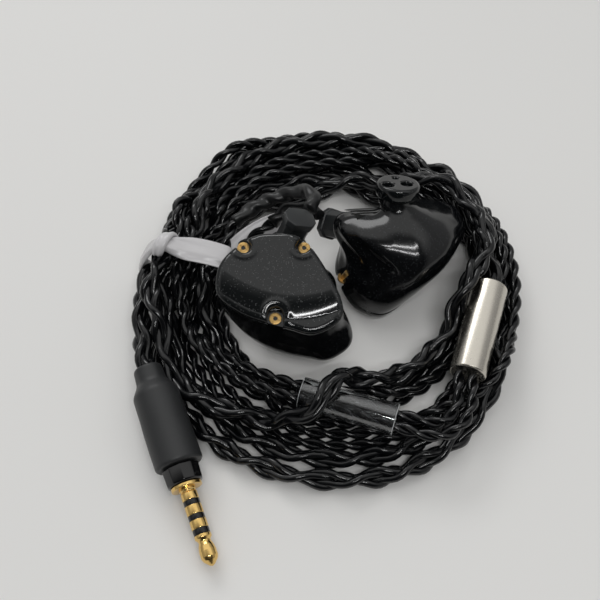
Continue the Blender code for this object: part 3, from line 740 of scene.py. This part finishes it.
def cut(made, rings, seat):
    """Cuts the solid that has these rings out of a piece."""
    tool = add_rings("tool", rings, seat, made.data.materials[0])
    step = made.modifiers.new("cut", "BOOLEAN")
    step.operation = "DIFFERENCE"
    step.solver = "EXACT"
    step.object = tool
    apply_modifiers(made)
    bpy.data.objects.remove(tool, do_unlink=True)


def apply_modifiers(made):
    graph = bpy.context.evaluated_depsgraph_get()
    mesh = bpy.data.meshes.new_from_object(made.evaluated_get(graph))
    made.modifiers.clear()
    made.data = mesh


def bevel_edges(made, width, parts, degrees):
    step = made.modifiers.new("edges", "BEVEL")
    step.width = width * MM
    step.segments = parts
    step.limit_method = "ANGLE"
    step.angle_limit = math.radians(degrees)
    apply_modifiers(made)


def sharpen(made, degrees):
    made.data.shade_smooth()
    made.data.set_sharp_from_angle(angle=math.radians(degrees))
    return made


def frame_axes(x_hint, z_axis):
    z_axis = unit(z_axis)
    x_axis = np.asarray(x_hint, float)
    x_axis = unit(x_axis - z_axis * (z_axis @ x_axis))
    return np.stack((x_axis, np.cross(z_axis, x_axis), z_axis), axis=1)


def octagon(size, cut, height):
    """A rectangle with its corners cut, as points at one height."""
    x, y = size[0] / 2, size[1] / 2
    half = [(x, y - cut), (x - cut, y), (-x + cut, y), (-x, y - cut)]
    return lift(np.vstack((half, -np.array(half))), height)


class Seat:
    """A frame inside the layout: a turn and a place."""

    def __init__(self, turn, place):
        self.turn = np.asarray(turn, float)
        self.place = np.asarray(place, float)

    def out(self, points):
        return np.asarray(points, float) @ self.turn.T + self.place


def add_rings(name, rings, seat, material, loop=False):
    rings = np.array(rings, float)
    faces = ring_faces(rings.shape[0], rings.shape[1], loop=loop)
    return recalculate(add_mesh(name, seat.out(rings.reshape(-1, 3)), faces, material))


def lathe(name, profile, seat, material, bore=None, sides=64):
    """A turned shape from its (height, radius) profile, closed along a bore where it has one."""
    ring = circle(sides)
    if bore:
        profile = profile + [(profile[-1][0], bore), (profile[0][0], bore)]
    rings = [lift(ring * r, z) for z, r in profile]
    return add_rings(name, rings, seat, material, loop=bool(bore))


def rounded(profile, radius=0.12, parts=4):
    """A lathe profile with its corners rounded."""
    points = np.array(profile, float)
    result = [tuple(points[0])]
    for a, b, c in zip(points, points[1:], points[2:]):
        back, ahead = a - b, c - b
        reach = min(radius, 0.45 * np.linalg.norm(back), 0.45 * np.linalg.norm(ahead))
        start, stop = b + unit(back) * reach, b + unit(ahead) * reach
        for k in range(parts + 1):
            t = k / parts
            result.append(tuple((1 - t) ** 2 * start + 2 * t * (1 - t) * b + t**2 * stop))
    result.append(tuple(points[-1]))
    return result


def distance_to_loop(points, loop):
    best = np.full(len(points), np.inf)
    for a, b in zip(loop, np.roll(loop, -1, axis=0)):
        along = b - a
        share = np.clip(((points - a) @ along) / (along @ along), 0, 1)
        best = np.minimum(best, norms(points - a - share[:, None] * along))
    return best


def distance_to_notch(points, middle, bearing, radius):
    """Signed distance to a notch that runs from its round end out over the edge."""
    turn = math.radians(bearing)
    ahead = np.array((math.cos(turn), math.sin(turn)))
    away = points - np.array(middle)
    along = np.maximum(away @ ahead, 0.0)
    return norms(away - along[:, None] * ahead) - radius


def plate_heights(flat, edge):
    """The faceplate's top: flat, rolling down below its crease, with soft edges and notch rims."""
    crease = CREASE_LOWEST[1] + CREASE_BEND * (flat[:, 0] - CREASE_LOWEST[0]) ** 2
    below = np.maximum(0.0, crease - flat[:, 1])
    height = -np.minimum(ROLL_DEPTH, ROLL_SLOPE * below + ROLL_BEND * below**2)
    height -= EDGE_DROP * rounding(np.clip((EDGE_REACH - edge) / EDGE_REACH, 0, 1))
    for middle, bearing, radius in NOTCHES:
        away = distance_to_notch(flat, middle, bearing, radius)
        height += 0.10 * np.exp(-((away - 0.75) / 0.42) ** 2) * np.clip(edge / 0.8, 0, 1)
        height -= 0.30 * rounding(np.clip((0.32 - away) / 0.32, 0, 1))
    return height


def faceplate(side_name, side, seat):
    count = 360
    loop = outline(count)
    towards_edge = 1 - 0.18 * (1 - np.linspace(0, 1, 30)[1:]) ** 1.3
    shares = np.concatenate((np.linspace(0.02, 0.82, 34), towards_edge[:-1], (0.999, 1.0)))
    flat = (loop[None] * shares[:, None, None]).reshape(-1, 2)
    edge = distance_to_loop(flat, outline(180))
    edge[-count:] = 0.0
    height = plate_heights(flat, edge).reshape(len(shares), count)
    rings = [np.column_stack((loop * share, row)) for share, row in zip(shares, height)]
    last = rings[-1]
    for sink, inset in ((0.3, 0.0), (0.55, 0.02)):
        rings.append(last * (1 - inset / 9, 1 - inset / 9, 1) - (0, 0, sink))
    rings += [lift(loop * share, -PLATE_THICK) for share in (0.985, 0.3)]
    rings = np.array(rings) * (side, 1, 1)
    plate = add_rings(side_name + "_faceplate_look", rings, seat, PLATE)
    for middle, bearing, radius in NOTCHES:
        turn = math.radians(bearing)
        angles = turn + math.pi / 2 + math.pi * np.arange(25) / 24
        shape = np.array(middle) + radius * np.stack((np.cos(angles), np.sin(angles)), axis=1)
        ahead = 6 * np.array((math.cos(turn), math.sin(turn)))
        shape = np.vstack((shape, shape[-1] + ahead, shape[0] + ahead))
        cut(plate, [lift(shape * (side, 1), z) for z in (-3.0, 2.0)], seat)
    return sharpen(plate, 50.0)


SCREW_PROFILE = [
    (-3.9, 0.5, 0), (-1.9, 0.5, 0), (-1.9, 0.95, 1), (-1.62, 0.95, 1), (-1.5, 0.89, 1),
    (-1.46, 0.77, 0), (-1.46, 0.35, 0), (-1.7, 0.3, 0), (-1.7, 0.05, 0),
]
SLOT_HEIGHT = -1.44
SLOT_HALF = np.array(((0.72, 0.1), (-0.72, 0.1), (-0.72, -0.1), (0.72, -0.1)))


def screw(name, place, seat):
    """A cross-slotted brass screw head with a knurled rim, down in its notch."""
    ring = circle(72)
    knurl = 0.025 * np.cos(24 * angles_round(72))
    rings = [lift(ring * (r + ridge * knurl)[:, None] + place, z) for z, r, ridge in SCREW_PROFILE]
    made = add_rings(name, rings, seat, BRASS)
    middle = np.array((*place, SLOT_HEIGHT))
    for bearing in (35.0, 125.0):
        half = SLOT_HALF @ turned((0, 0, 1), bearing)[:2, :2]
        cut(made, [lift(half, z) + middle for z in (-0.16, 0.3)], seat)
    return sharpen(made, 30.0)


def shell(side_name, side, seat, socket_seat):
    count = 144
    outer = [section_ring(s, 0.0, count) for s in SECTIONS]
    outer.append(neck_ring(CAP_THICK + 0.9, NECK_RADIUS + 0.15, count))
    outer.append(neck_ring(CAP_THICK - 0.1, NECK_RADIUS, count))
    inner = [
        section_ring(SECTIONS[0], RIM_WIDTH, count),
        section_ring(((0.1, -0.2, -4.4), 0, 1.0, 0.0, 8.0, NO_BOSS), RIM_WIDTH, count),
        section_ring(((0.2, -0.3, -5.2), 1, 1.0, 0.0, 8.0, NO_BOSS), WALL + 0.2, count),
    ] + [section_ring((*s[:5], NO_BOSS), WALL, count) for s in SECTIONS[2:]]
    inner.append(neck_ring(CAP_THICK - 0.1, CANAL_RADIUS, count))
    rings = np.concatenate((loft(outer, 7), loft(inner, 2)[::-1])) * (side, 1, 1)
    made = add_rings(side_name + "_shell_look", rings, seat, RESIN, loop=True)
    size = (HOUSING_SIZE[0] + 2 * GAP, HOUSING_SIZE[1] + 2 * GAP)
    cut(made, [octagon(size, CORNER_CUT, z) for z in (-GAP, 14.0)], socket_seat)
    half = np.array(SOCKET_SIZE[:2]) / 2 + FIT
    square = half * ((1, 1), (-1, 1), (-1, -1), (1, -1))
    cut(made, [lift(square, z) for z in (-SOCKET_SIZE[2] - GAP - 0.3, 1.0)], socket_seat)
    return sharpen(made, 42.0)


def nozzle_cap(side_name, side, seat):
    """The lipped end of the nozzle, with its three bores."""
    round_ring = circle(160)
    rings = [lift(round_ring * r, z) for z, r in (
        (0.0, NECK_RADIUS - 0.4), (0.0, NECK_RADIUS + 0.25), (0.12, CAP_RADIUS - 0.28),
        (0.35, CAP_RADIUS - 0.08), (0.65, CAP_RADIUS), (CAP_THICK - 0.75, CAP_RADIUS))]
    for share in np.concatenate((np.linspace(1.0, 0.84, 9), np.linspace(0.82, 0.02, 40))):
        flat = round_ring * CAP_RADIUS * share
        inside = np.clip((share - 0.84) / 0.16, 0, 1)
        height = CAP_THICK - 0.6 * rounding(inside, 0.99) + np.zeros(len(flat))
        for (x, y), radius in BORES:
            away = norms(flat - (-x, y * side)) - radius
            height -= 0.25 * rounding(np.clip((0.28 - away) / 0.28, 0, 1))
        rings.append(np.column_stack((flat, height)))
    made = add_rings(side_name + "_nozzle_look", rings, seat, PLATE)
    for (x, y), radius in BORES:
        bore = round_ring[::4] * radius + (-x, y * side)
        cut(made, [lift(bore, z) for z in (-1.0, 4.0)], seat)
    return sharpen(made, 50.0)


def connector(side_name, seat):
    flange = HOUSING_LENGTH - FLANGE_THICK
    rings = [octagon((HOUSING_SIZE[0] - 0.5, HOUSING_SIZE[1] - 0.5), CORNER_CUT - 0.1, 0.0),
             octagon(HOUSING_SIZE, CORNER_CUT, 0.3),
             octagon(HOUSING_SIZE, CORNER_CUT, flange),
             octagon(FLANGE_SIZE, CORNER_CUT + 0.1, flange + 0.06),
             octagon(FLANGE_SIZE, CORNER_CUT + 0.1, HOUSING_LENGTH)]
    made = add_rings(side_name + "_connector_look", rings, seat, CONNECTOR)
    for x in (-PIN_ASIDE, PIN_ASIDE):
        cut(made, [lift(circle(24) * PIN_HOLE + (x, 0.0), z) for z in (-1.0, 1.5)], seat)
    bevel_edges(made, 0.16, 3, 25)
    return sharpen(made, 30.0)


def surface_noise(points):
    """Smooth noise at each point."""
    return np.array([noise.noise(Vector(point)) for point in points])


HOOK_STEP = 0.3
HOOK_RADIUS = 1.13


def ear_hook(name, route, seed):
    """Heat-shrink drawn down over the twisted leads, so that their twist shows through it."""
    line = smooth_line(route, HOOK_STEP)
    run = np.arange(len(line)) * HOOK_STEP
    sides = 36
    turn = angles_round(sides)
    twist = math.tau * run / 7.5 + 0.6 * np.sin(run * 0.4 + seed)
    oval = 0.17 * np.cos(2 * (turn[None] - twist[:, None]))
    lumps = [surface_noise([(math.cos(a) * 0.9, math.sin(a) * 0.9, s * 0.35 + seed * 7)
                            for a in turn]) for s in run]
    radius = HOOK_RADIUS + oval + 0.09 * np.array(lumps)
    ends = np.minimum(run, run[-1] - run)
    radius *= (1 - 0.12 * np.exp(-(ends / 0.25) ** 2))[:, None]
    rings = tube_points(line, radius, sides)
    made = add_mesh(name, rings.reshape(-1, 3), ring_faces(len(line), sides), HOOK_SHRINK)
    return recalculate(made), line


earpiece_pieces = {}
for side_name, (side, place, turn, lean) in EARPIECES.items():
    rotation = earpiece_turn(side, turn, lean)
    seat = Seat(rotation, place)
    mirror = np.array((side, 1, 1))
    pin_axis = PIN_AXIS * mirror
    socket_place = FLANGE_MIDDLE * mirror - pin_axis * HOUSING_LENGTH
    socket_seat = Seat(rotation @ frame_axes((1, 0.3 * side, 0), pin_axis), seat.out(socket_place))
    nozzle_axis = NOZZLE_AXIS * mirror
    cap_place = NOZZLE_TIP * mirror - nozzle_axis * CAP_THICK
    cap_seat = Seat(rotation @ frame_axes((0, 1, 0), nozzle_axis), seat.out(cap_place))
    made = {
        "shell": shell(side_name, side, seat, socket_seat),
        "faceplate": faceplate(side_name, side, seat),
        "nozzle_cap": nozzle_cap(side_name, side, cap_seat),
        "connector_housing": connector(side_name, socket_seat),
    }
    for number, ((x, y), bearing, _radius) in enumerate(NOTCHES, 1):
        out = math.radians(bearing)
        spot = (side * (x + SCREW_OUT * math.cos(out)), y + SCREW_OUT * math.sin(out))
        made[f"faceplate_screw_{number}"] = screw(f"{side_name}_screw_look_{number}", spot, seat)
    earpiece_pieces[side_name] = made
left_hook, left_hook_line = ear_hook("left_hook_look", LEFT_HOOK, 1.0)
right_hook, right_hook_line = ear_hook("right_hook_look", RIGHT_HOOK, 2.0)

# ---- splitter, slider, plug, tie
SPLITTER_BORE = 2.25
SPLITTER_RECESS = 1.2
SLIDER_BORE = 2.05
PLUG_TIP = np.array((-12.2, -44.3, 1.9))
PLUG_WASHER = np.array((-16.3, -33.4, 3.3))


def seat_between(start, stop):
    """A seat at one end of a rod with its z axis towards the other, and the rod's length."""
    return Seat(frame_axes((0, 0, 1), stop - start), start), float(np.linalg.norm(stop - start))


def splitter():
    seat, length = seat_between(SPLITTER_LOWER, SPLITTER_UPPER)
    low, high = SPLITTER_RECESS, length - SPLITTER_RECESS
    outside = [(0.0, SPLITTER_BORE), (0.0, 2.62), (0.16, SPLITTER_RADIUS),
               (length - 0.16, SPLITTER_RADIUS), (length, 2.62), (length, SPLITTER_BORE)]
    inside = [(high, SPLITTER_BORE), (low, SPLITTER_BORE)]
    barrel = lathe("splitter_look", rounded(outside, 0.08) + inside, seat, NICKEL, sides=128)
    core_profile = [(low, 1.0), (low, 2.15), (high, 2.15), (high, 1.0)]
    core = lathe("splitter_core_look", rounded(core_profile), seat, CONNECTOR)
    return sharpen(barrel, 35.0), sharpen(core, 35.0)


def slider():
    seat, length = seat_between(SLIDER_LEFT, SLIDER_RIGHT)
    bore, edge = SLIDER_BORE + 0.02, SLIDER_RADIUS - 0.05
    profile = [(0.0, bore), (0.0, edge), (0.06, SLIDER_RADIUS), (length - 0.06, SLIDER_RADIUS),
               (length, edge), (length, bore)]
    made = sharpen(lathe("slider_look", profile, seat, CLEAR, bore=SLIDER_BORE, sides=96), 30.0)
    # The end faces take the light grey material, a painted highlight for the bright rims at the
    # tube's ends
    made.data.materials.append(SLIDER_END_HIGHLIGHT)
    ahead = Vector(SLIDER_RIGHT - SLIDER_LEFT).normalized()
    for face in made.data.polygons:
        face.material_index = int(abs(face.normal.dot(ahead)) > 0.6)
    return made


PLUG_RADIUS = 1.25
SHRINK_PROFILE = [
    (-19.6, 1.0), (-19.6, 2.02), (-19.3, 2.2), (-17.1, 2.3), (-16.1, 3.0), (-15.3, 3.5),
    (-9.0, 3.58), (-3.9, 3.6), (-3.5, 3.3), (-3.5, 1.0),
]
COLLAR_PROFILE = [(-3.4, 0.5), (-3.4, 2.5), (-3.2, 2.85), (-0.9, 2.75), (-0.65, 2.5), (-0.65, 0.5)]
SLEEVE_GROOVE = [
    (0.3, PLUG_RADIUS), (0.38, PLUG_RADIUS - 0.12), (0.6, PLUG_RADIUS - 0.12), (0.68, PLUG_RADIUS),
]
TIP_PROFILE = [
    (7.0, 0.4), (7.0, PLUG_RADIUS), (7.5, PLUG_RADIUS), (7.85, 0.93), (8.15, 0.93), (8.6, 1.12),
    (9.3, 1.25), (10.3, 1.25), (10.75, 1.05), (11.45, 0.38), (11.6, 0.05),
]


def band_profile(start, stop, radius, inside=0.5, groove=()):
    return [(start, inside), (start, radius), *groove, (stop, radius), (stop, inside)]


def plug():
    seat, _length = seat_between(PLUG_WASHER, PLUG_TIP)
    made = {}
    sides = 72
    rings = []
    for z, radius in smooth_profile(rounded(SHRINK_PROFILE, 0.5, 6), 0.25):
        wrinkle = 0.0
        if radius > 1.9:
            wrinkle = surface_noise([(math.cos(a) * 1.6, math.sin(a) * 1.6, z * 0.35)
                                     for a in angles_round(sides)])
            wrinkle = 0.05 * wrinkle * (1 + 1.5 * math.exp(-((z + 17) / 1.5) ** 2))
        rings.append(lift(circle(sides) * np.reshape(radius + wrinkle, (-1, 1)), z))
    made["plug_heat_shrink"] = add_rings("plug_shrink_look", rings, seat, SHRINK)
    collar = lathe("plug_collar_look", COLLAR_PROFILE, seat, GLOSS, sides=10)
    bevel_edges(collar, 0.1, 2, 30)
    made["plug_collar"] = sharpen(collar, 25.0)
    turned_parts = {
        "plug_washer": (band_profile(-0.55, 0.0, 2.3, 1.3), GOLD),
        "plug_sleeve": (band_profile(-0.5, 1.8, PLUG_RADIUS, groove=SLEEVE_GROOVE), GOLD),
        "plug_insulator_1": (band_profile(1.8, 2.6, PLUG_RADIUS - 0.04), GLOSS),
        "plug_ring_1": (band_profile(2.6, 4.0, PLUG_RADIUS), GOLD),
        "plug_insulator_2": (band_profile(4.0, 4.8, PLUG_RADIUS - 0.04), GLOSS),
        "plug_ring_2": (band_profile(4.8, 6.1, PLUG_RADIUS), GOLD),
        "plug_insulator_3": (band_profile(6.1, 7.0, PLUG_RADIUS - 0.04), GLOSS),
        "plug_tip": (TIP_PROFILE, GOLD),
    }
    for node, (profile, finish) in turned_parts.items():
        piece = lathe(node + "_look", rounded(profile, 0.1), seat, finish, sides=80)
        made[node] = sharpen(piece, 35.0)
    return made


def smooth_profile(profile, step):
    """The same profile with points no further apart than step."""
    result = [profile[0]]
    for (z0, r0), (z1, r1) in zip(profile, profile[1:]):
        parts = max(1, math.ceil(math.hypot(z1 - z0, r1 - r0) / step))
        result += [(z0 + (z1 - z0) * k / parts, r0 + (r1 - r0) * k / parts)
                   for k in range(1, parts + 1)]
    return result


def tie_section():
    """The outline that the tie is pulled to round the cords, as (radius, height) points."""
    near = []
    for line, thick in ((main_line, 1.75), (left_line, 0.95), (right_line, 0.95)):
        away = line - COIL_CENTRE
        bearing = np.degrees(np.arctan2(away[:, 1], away[:, 0])) % 360
        radius = np.hypot(away[:, 0], away[:, 1])
        close = np.abs(np.radians(bearing - TIE_BEARING) * radius) < 2.6
        near.append(lift(np.stack((radius[close], away[close, 2]), axis=1), thick))
    near = np.vstack(near)
    normal = circle(144)
    reach = (near[:, :2] @ normal.T + near[:, 2:]).max(0)
    kernel = np.exp(-(np.arange(-9, 10) / 4.0) ** 2)
    padded = np.concatenate((reach[-9:], reach, reach[:9]))
    reach = np.convolve(padded, kernel / kernel.sum(), "valid")
    slope = (np.roll(reach, -1) - np.roll(reach, 1)) / (2 * math.tau / 144)
    tangent = np.stack((-normal[:, 1], normal[:, 0]), axis=1)
    loop = normal * reach[:, None] + tangent * slope[:, None]
    loop[:, 1] = np.maximum(loop[:, 1], 0.75)
    loop = np.vstack((loop, loop[:1]))
    run = run_of(loop)
    return points_at(loop, run, np.arange(TIE_POINTS) * run[-1] / TIE_POINTS)


KNOT_RADIUS = 25.0
TIE_POINTS = 160
TAIL_ROUTE = [
    (-11.4, 3.6, 5.4), (-10.2, 6.4, 4.8), (-8.2, 9.4, 3.9), (-5.4, 12.0, 3.2), (-2.2, 13.8, 2.8),
]


def soft_band(name, line, out, width, thick, seed, closed):
    """A soft flat band along a line, rolled at its edges and creased along its length."""
    sides = 40
    across, up = circle(sides).T
    if closed:
        ahead = np.roll(line, -1, axis=0) - np.roll(line, 1, axis=0)
    else:
        ahead = np.gradient(line, axis=0)
    ahead /= norms(ahead)[:, None]
    out = out - (out * ahead).sum(1)[:, None] * ahead
    out /= norms(out)[:, None]
    aside = np.cross(ahead, out)
    run = run_of(line)
    rings = []
    for k in range(len(line)):
        x = np.sign(across) * np.abs(across) ** 0.75 * width[k] / 2
        y = np.sign(up) * np.abs(up) ** 0.9 * thick[k] / 2
        fade = min(1.0, min(k, len(line) - 1 - k) / 12) if closed else 1.0
        fold = surface_noise([(value * 1.1 + seed, run[k] * 0.10, seed * 3.1) for value in x])
        crease = surface_noise([(value * 2.6 + seed, run[k] * 0.22, seed) for value in x])
        y = y + (0.34 * fold + 0.12 * crease) * fade
        rings.append(line[k] + aside[k] * x[:, None] + out[k] * y[:, None])
    points = np.array(rings).reshape(-1, 3)
    return recalculate(add_mesh(name, points, ring_faces(len(line), sides, loop=closed), TIE))


def cable_tie():
    loop = tie_section()
    turn = math.radians(TIE_BEARING + 2.0)
    outward = np.array((math.cos(turn), math.sin(turn), 0.0))
    upward = np.array((0.0, 0.0, 1.0))
    centre = loop.mean(0)
    normal = loop - centre
    line = COIL_CENTRE + outward * loop[:, :1] + upward * loop[:, 1:]
    on_top = loop[:, 1] > centre[1]
    knot = np.exp(-((loop[:, 0] - KNOT_RADIUS) / 1.9) ** 2) * on_top
    side_in = np.clip((centre[0] + 2 - loop[:, 0]) / 10, -1, 1) * on_top
    outer_or_under = (loop[:, 0] > KNOT_RADIUS) | (loop[:, 1] < centre[1])
    width = 4.2 - 1.8 * knot - 0.9 * outer_or_under + 0.3 * side_in
    kernel = np.hanning(15) / np.hanning(15).sum()
    width = np.convolve(np.concatenate((width[-7:], width, width[:7])), kernel, "valid")
    thick = 0.85 + 1.0 * knot
    out = outward * normal[:, :1] + upward * normal[:, 1:]
    line = line + out / norms(out)[:, None] * (thick / 2)[:, None]
    line[:, 2] = np.maximum(line[:, 2], 0.72)
    band = soft_band("tie_look", line, out, width, thick, 1.7, True)
    top = int(np.argmax(knot))
    middle = line[top]
    ahead = unit(line[(top + 1) % TIE_POINTS] - line[top - 1])
    up = unit(out[top] - ahead * (out[top] @ ahead))
    aside = np.cross(ahead, up)
    angles = np.linspace(-0.4 * math.pi, 1.55 * math.pi, 60)
    spiral = (angles - angles.mean()) * 0.52
    wrap = (middle + ahead * spiral[:, None] + aside * (1.65 * np.cos(angles))[:, None]
            + up * (1.25 * np.sin(angles) - 0.1)[:, None])
    wrap_out = aside * np.cos(angles)[:, None] + up * np.sin(angles)[:, None]
    swell = np.sin(np.linspace(0.12, math.pi - 0.12, 60)) ** 0.5
    twist = soft_band("tie_twist_look", wrap, wrap_out, 2.1 * swell, 0.95 * swell, 4.1, False)
    tail_line = smooth_line(TAIL_ROUTE, 0.25)
    tail_out = np.tile(np.array((0.25, -0.45, 0.86)), (len(tail_line), 1))
    size = np.linspace(0, 1, len(tail_line))
    tail = soft_band("tie_tail_look", tail_line, tail_out, 4.4 - 0.6 * size, 0.8 - 0.2 * size, 7.3,
                     False)
    return band, twist, tail


barrel, splitter_core = splitter()
slider_tube = slider()
plug_pieces = plug()
tie_band, tie_twist, tie_tail = cable_tie()


def stands_for(piece, node, body):
    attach(piece, body)
    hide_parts(node)


for side_name, pieces in earpiece_pieces.items():
    for node, piece in pieces.items():
        body = side_name + "_connector" if node == "connector_housing" else "root"
        stands_for(piece, f"{side_name}_{node}", body)
stands_for(main_cable, "cable_coil", "root")
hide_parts("main_cable_start", "main_cable_end")
for piece, node, body, slot in (
    (left_lead, "left_lead_run", "root", "cable_jacket"),
    (right_lead, "right_lead_run", "root", "cable_jacket"),
    (barrel, "splitter_barrel", "root", "nickel"),
    (splitter_core, "splitter_insert", "root", "connector_plastic"),
    (slider_tube, "chin_slider", "slider", "clear_plastic"),
    (tie_band, "cable_tie", "root", "tie_plastic"),
):
    stands_for(piece, node, body)
for piece in (tie_twist, tie_tail):
    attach(piece, "root")
for node, piece in plug_pieces.items():
    slot = "heat_shrink" if node == "plug_heat_shrink" else "gold_contact"
    if node == "plug_collar" or "insulator" in node:
        slot = "gloss_black"
    stands_for(piece, node, "root")
for side_name, hook, line in (("left", left_hook, left_hook_line),
                              ("right", right_hook, right_hook_line)):
    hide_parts(side_name + "_ear_hook")
    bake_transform(hook)

CAD_FINISH = {"driver": STEEL, "board": BOARD, "tube": TUBING, "socket": SOCKET, "pin": GOLD}
for node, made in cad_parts.items():
    for word, finish in CAD_FINISH.items():
        if word in node.split("_"):
            made.data.materials.clear()
            made.data.materials.append(finish)


# ---- table, light and world
TABLE_REACH = 3.0


def add_floor():
    made, tree, shader = principled("table_surface", (0.80, 0.795, 0.78), 0.5)
    grain(tree, shader, 60.0, 0.02, distance=0.001)
    mesh = bpy.data.meshes.new("table")
    corners = lift(TABLE_REACH * np.array(((-1, -1), (1, -1), (1, 1), (-1, 1))), 0.0)
    mesh.from_pydata(corners.tolist(), [], [(0, 1, 2, 3)])
    mesh.materials.append(made)
    floor = bpy.data.objects.new("table", mesh)
    bpy.context.scene.collection.objects.link(floor)


def add_area(name, place, size, power):
    """A rectangular lamp that shines at the middle of the coil."""
    data = bpy.data.lights.new(name, "AREA")
    data.shape = "RECTANGLE"
    data.size, data.size_y = size
    data.energy = power
    lamp = bpy.data.objects.new(name, data)
    bpy.context.scene.collection.objects.link(lamp)
    lamp.location = place
    lamp.rotation_euler = (-Vector(place)).to_track_quat("-Z", "Y").to_euler()


ROOM_STOPS = [(0.0, (0.30, 0.30, 0.30)), (0.55, (0.42, 0.42, 0.42)), (0.75, (0.95, 0.95, 0.9405)),
              (1.0, (1.0, 1.0, 0.99))]
PHOTOGRAPHER = (0.0, -0.80, 0.60)
PHOTOGRAPHER_STOPS = [(0.45, (1.0, 1.0, 1.0)), (0.72, (0.10, 0.10, 0.10))]


def add_ramp(tree, value, levels):
    node = add_node(tree, "ShaderNodeValToRGB", Fac=value)
    stops = node.color_ramp.elements
    for number, (position, colour) in enumerate(levels):
        stop = stops[number] if number < 2 else stops.new(position)
        stop.position = position
        stop.color = (*colour, 1.0)
    return node


def add_world():
    """A white room: bright overhead, darker walls, and the photographer dark on the near side."""
    world = bpy.data.worlds.new("room")
    world.use_nodes = True
    tree = world.node_tree
    view = add_node(tree, "ShaderNodeTexCoord").outputs["Generated"]
    parts = add_node(tree, "ShaderNodeSeparateXYZ", Vector=view)
    ramp = add_ramp(tree, parts.outputs["Z"], ROOM_STOPS)
    towards = add_node(tree, "ShaderNodeVectorMath", {"operation": "DOT_PRODUCT"}, _0=view,
                       _1=PHOTOGRAPHER)
    shade = add_ramp(tree, towards.outputs["Value"], PHOTOGRAPHER_STOPS)
    blend = add_node(tree, "ShaderNodeMix", {"data_type": "RGBA", "blend_type": "MULTIPLY"},
                     Factor=1.0, A=ramp.outputs["Color"], B=shade.outputs["Color"])
    feed(tree, tree.nodes["Background"], Color=blend.outputs["Result"], Strength=0.95)
    bpy.context.scene.world = world


add_floor()
add_world()
add_area("window", (-0.35, 0.9, 0.75), (0.7, 0.35), 3.0)
add_area("tube_lamp_1", (0.10, -0.33, 0.92), (0.55, 0.025), 1.6)
add_area("tube_lamp_2", (0.10, -0.50, 0.84), (0.45, 0.025), 1.2)

bpy.context.scene.view_settings.view_transform = "Standard"
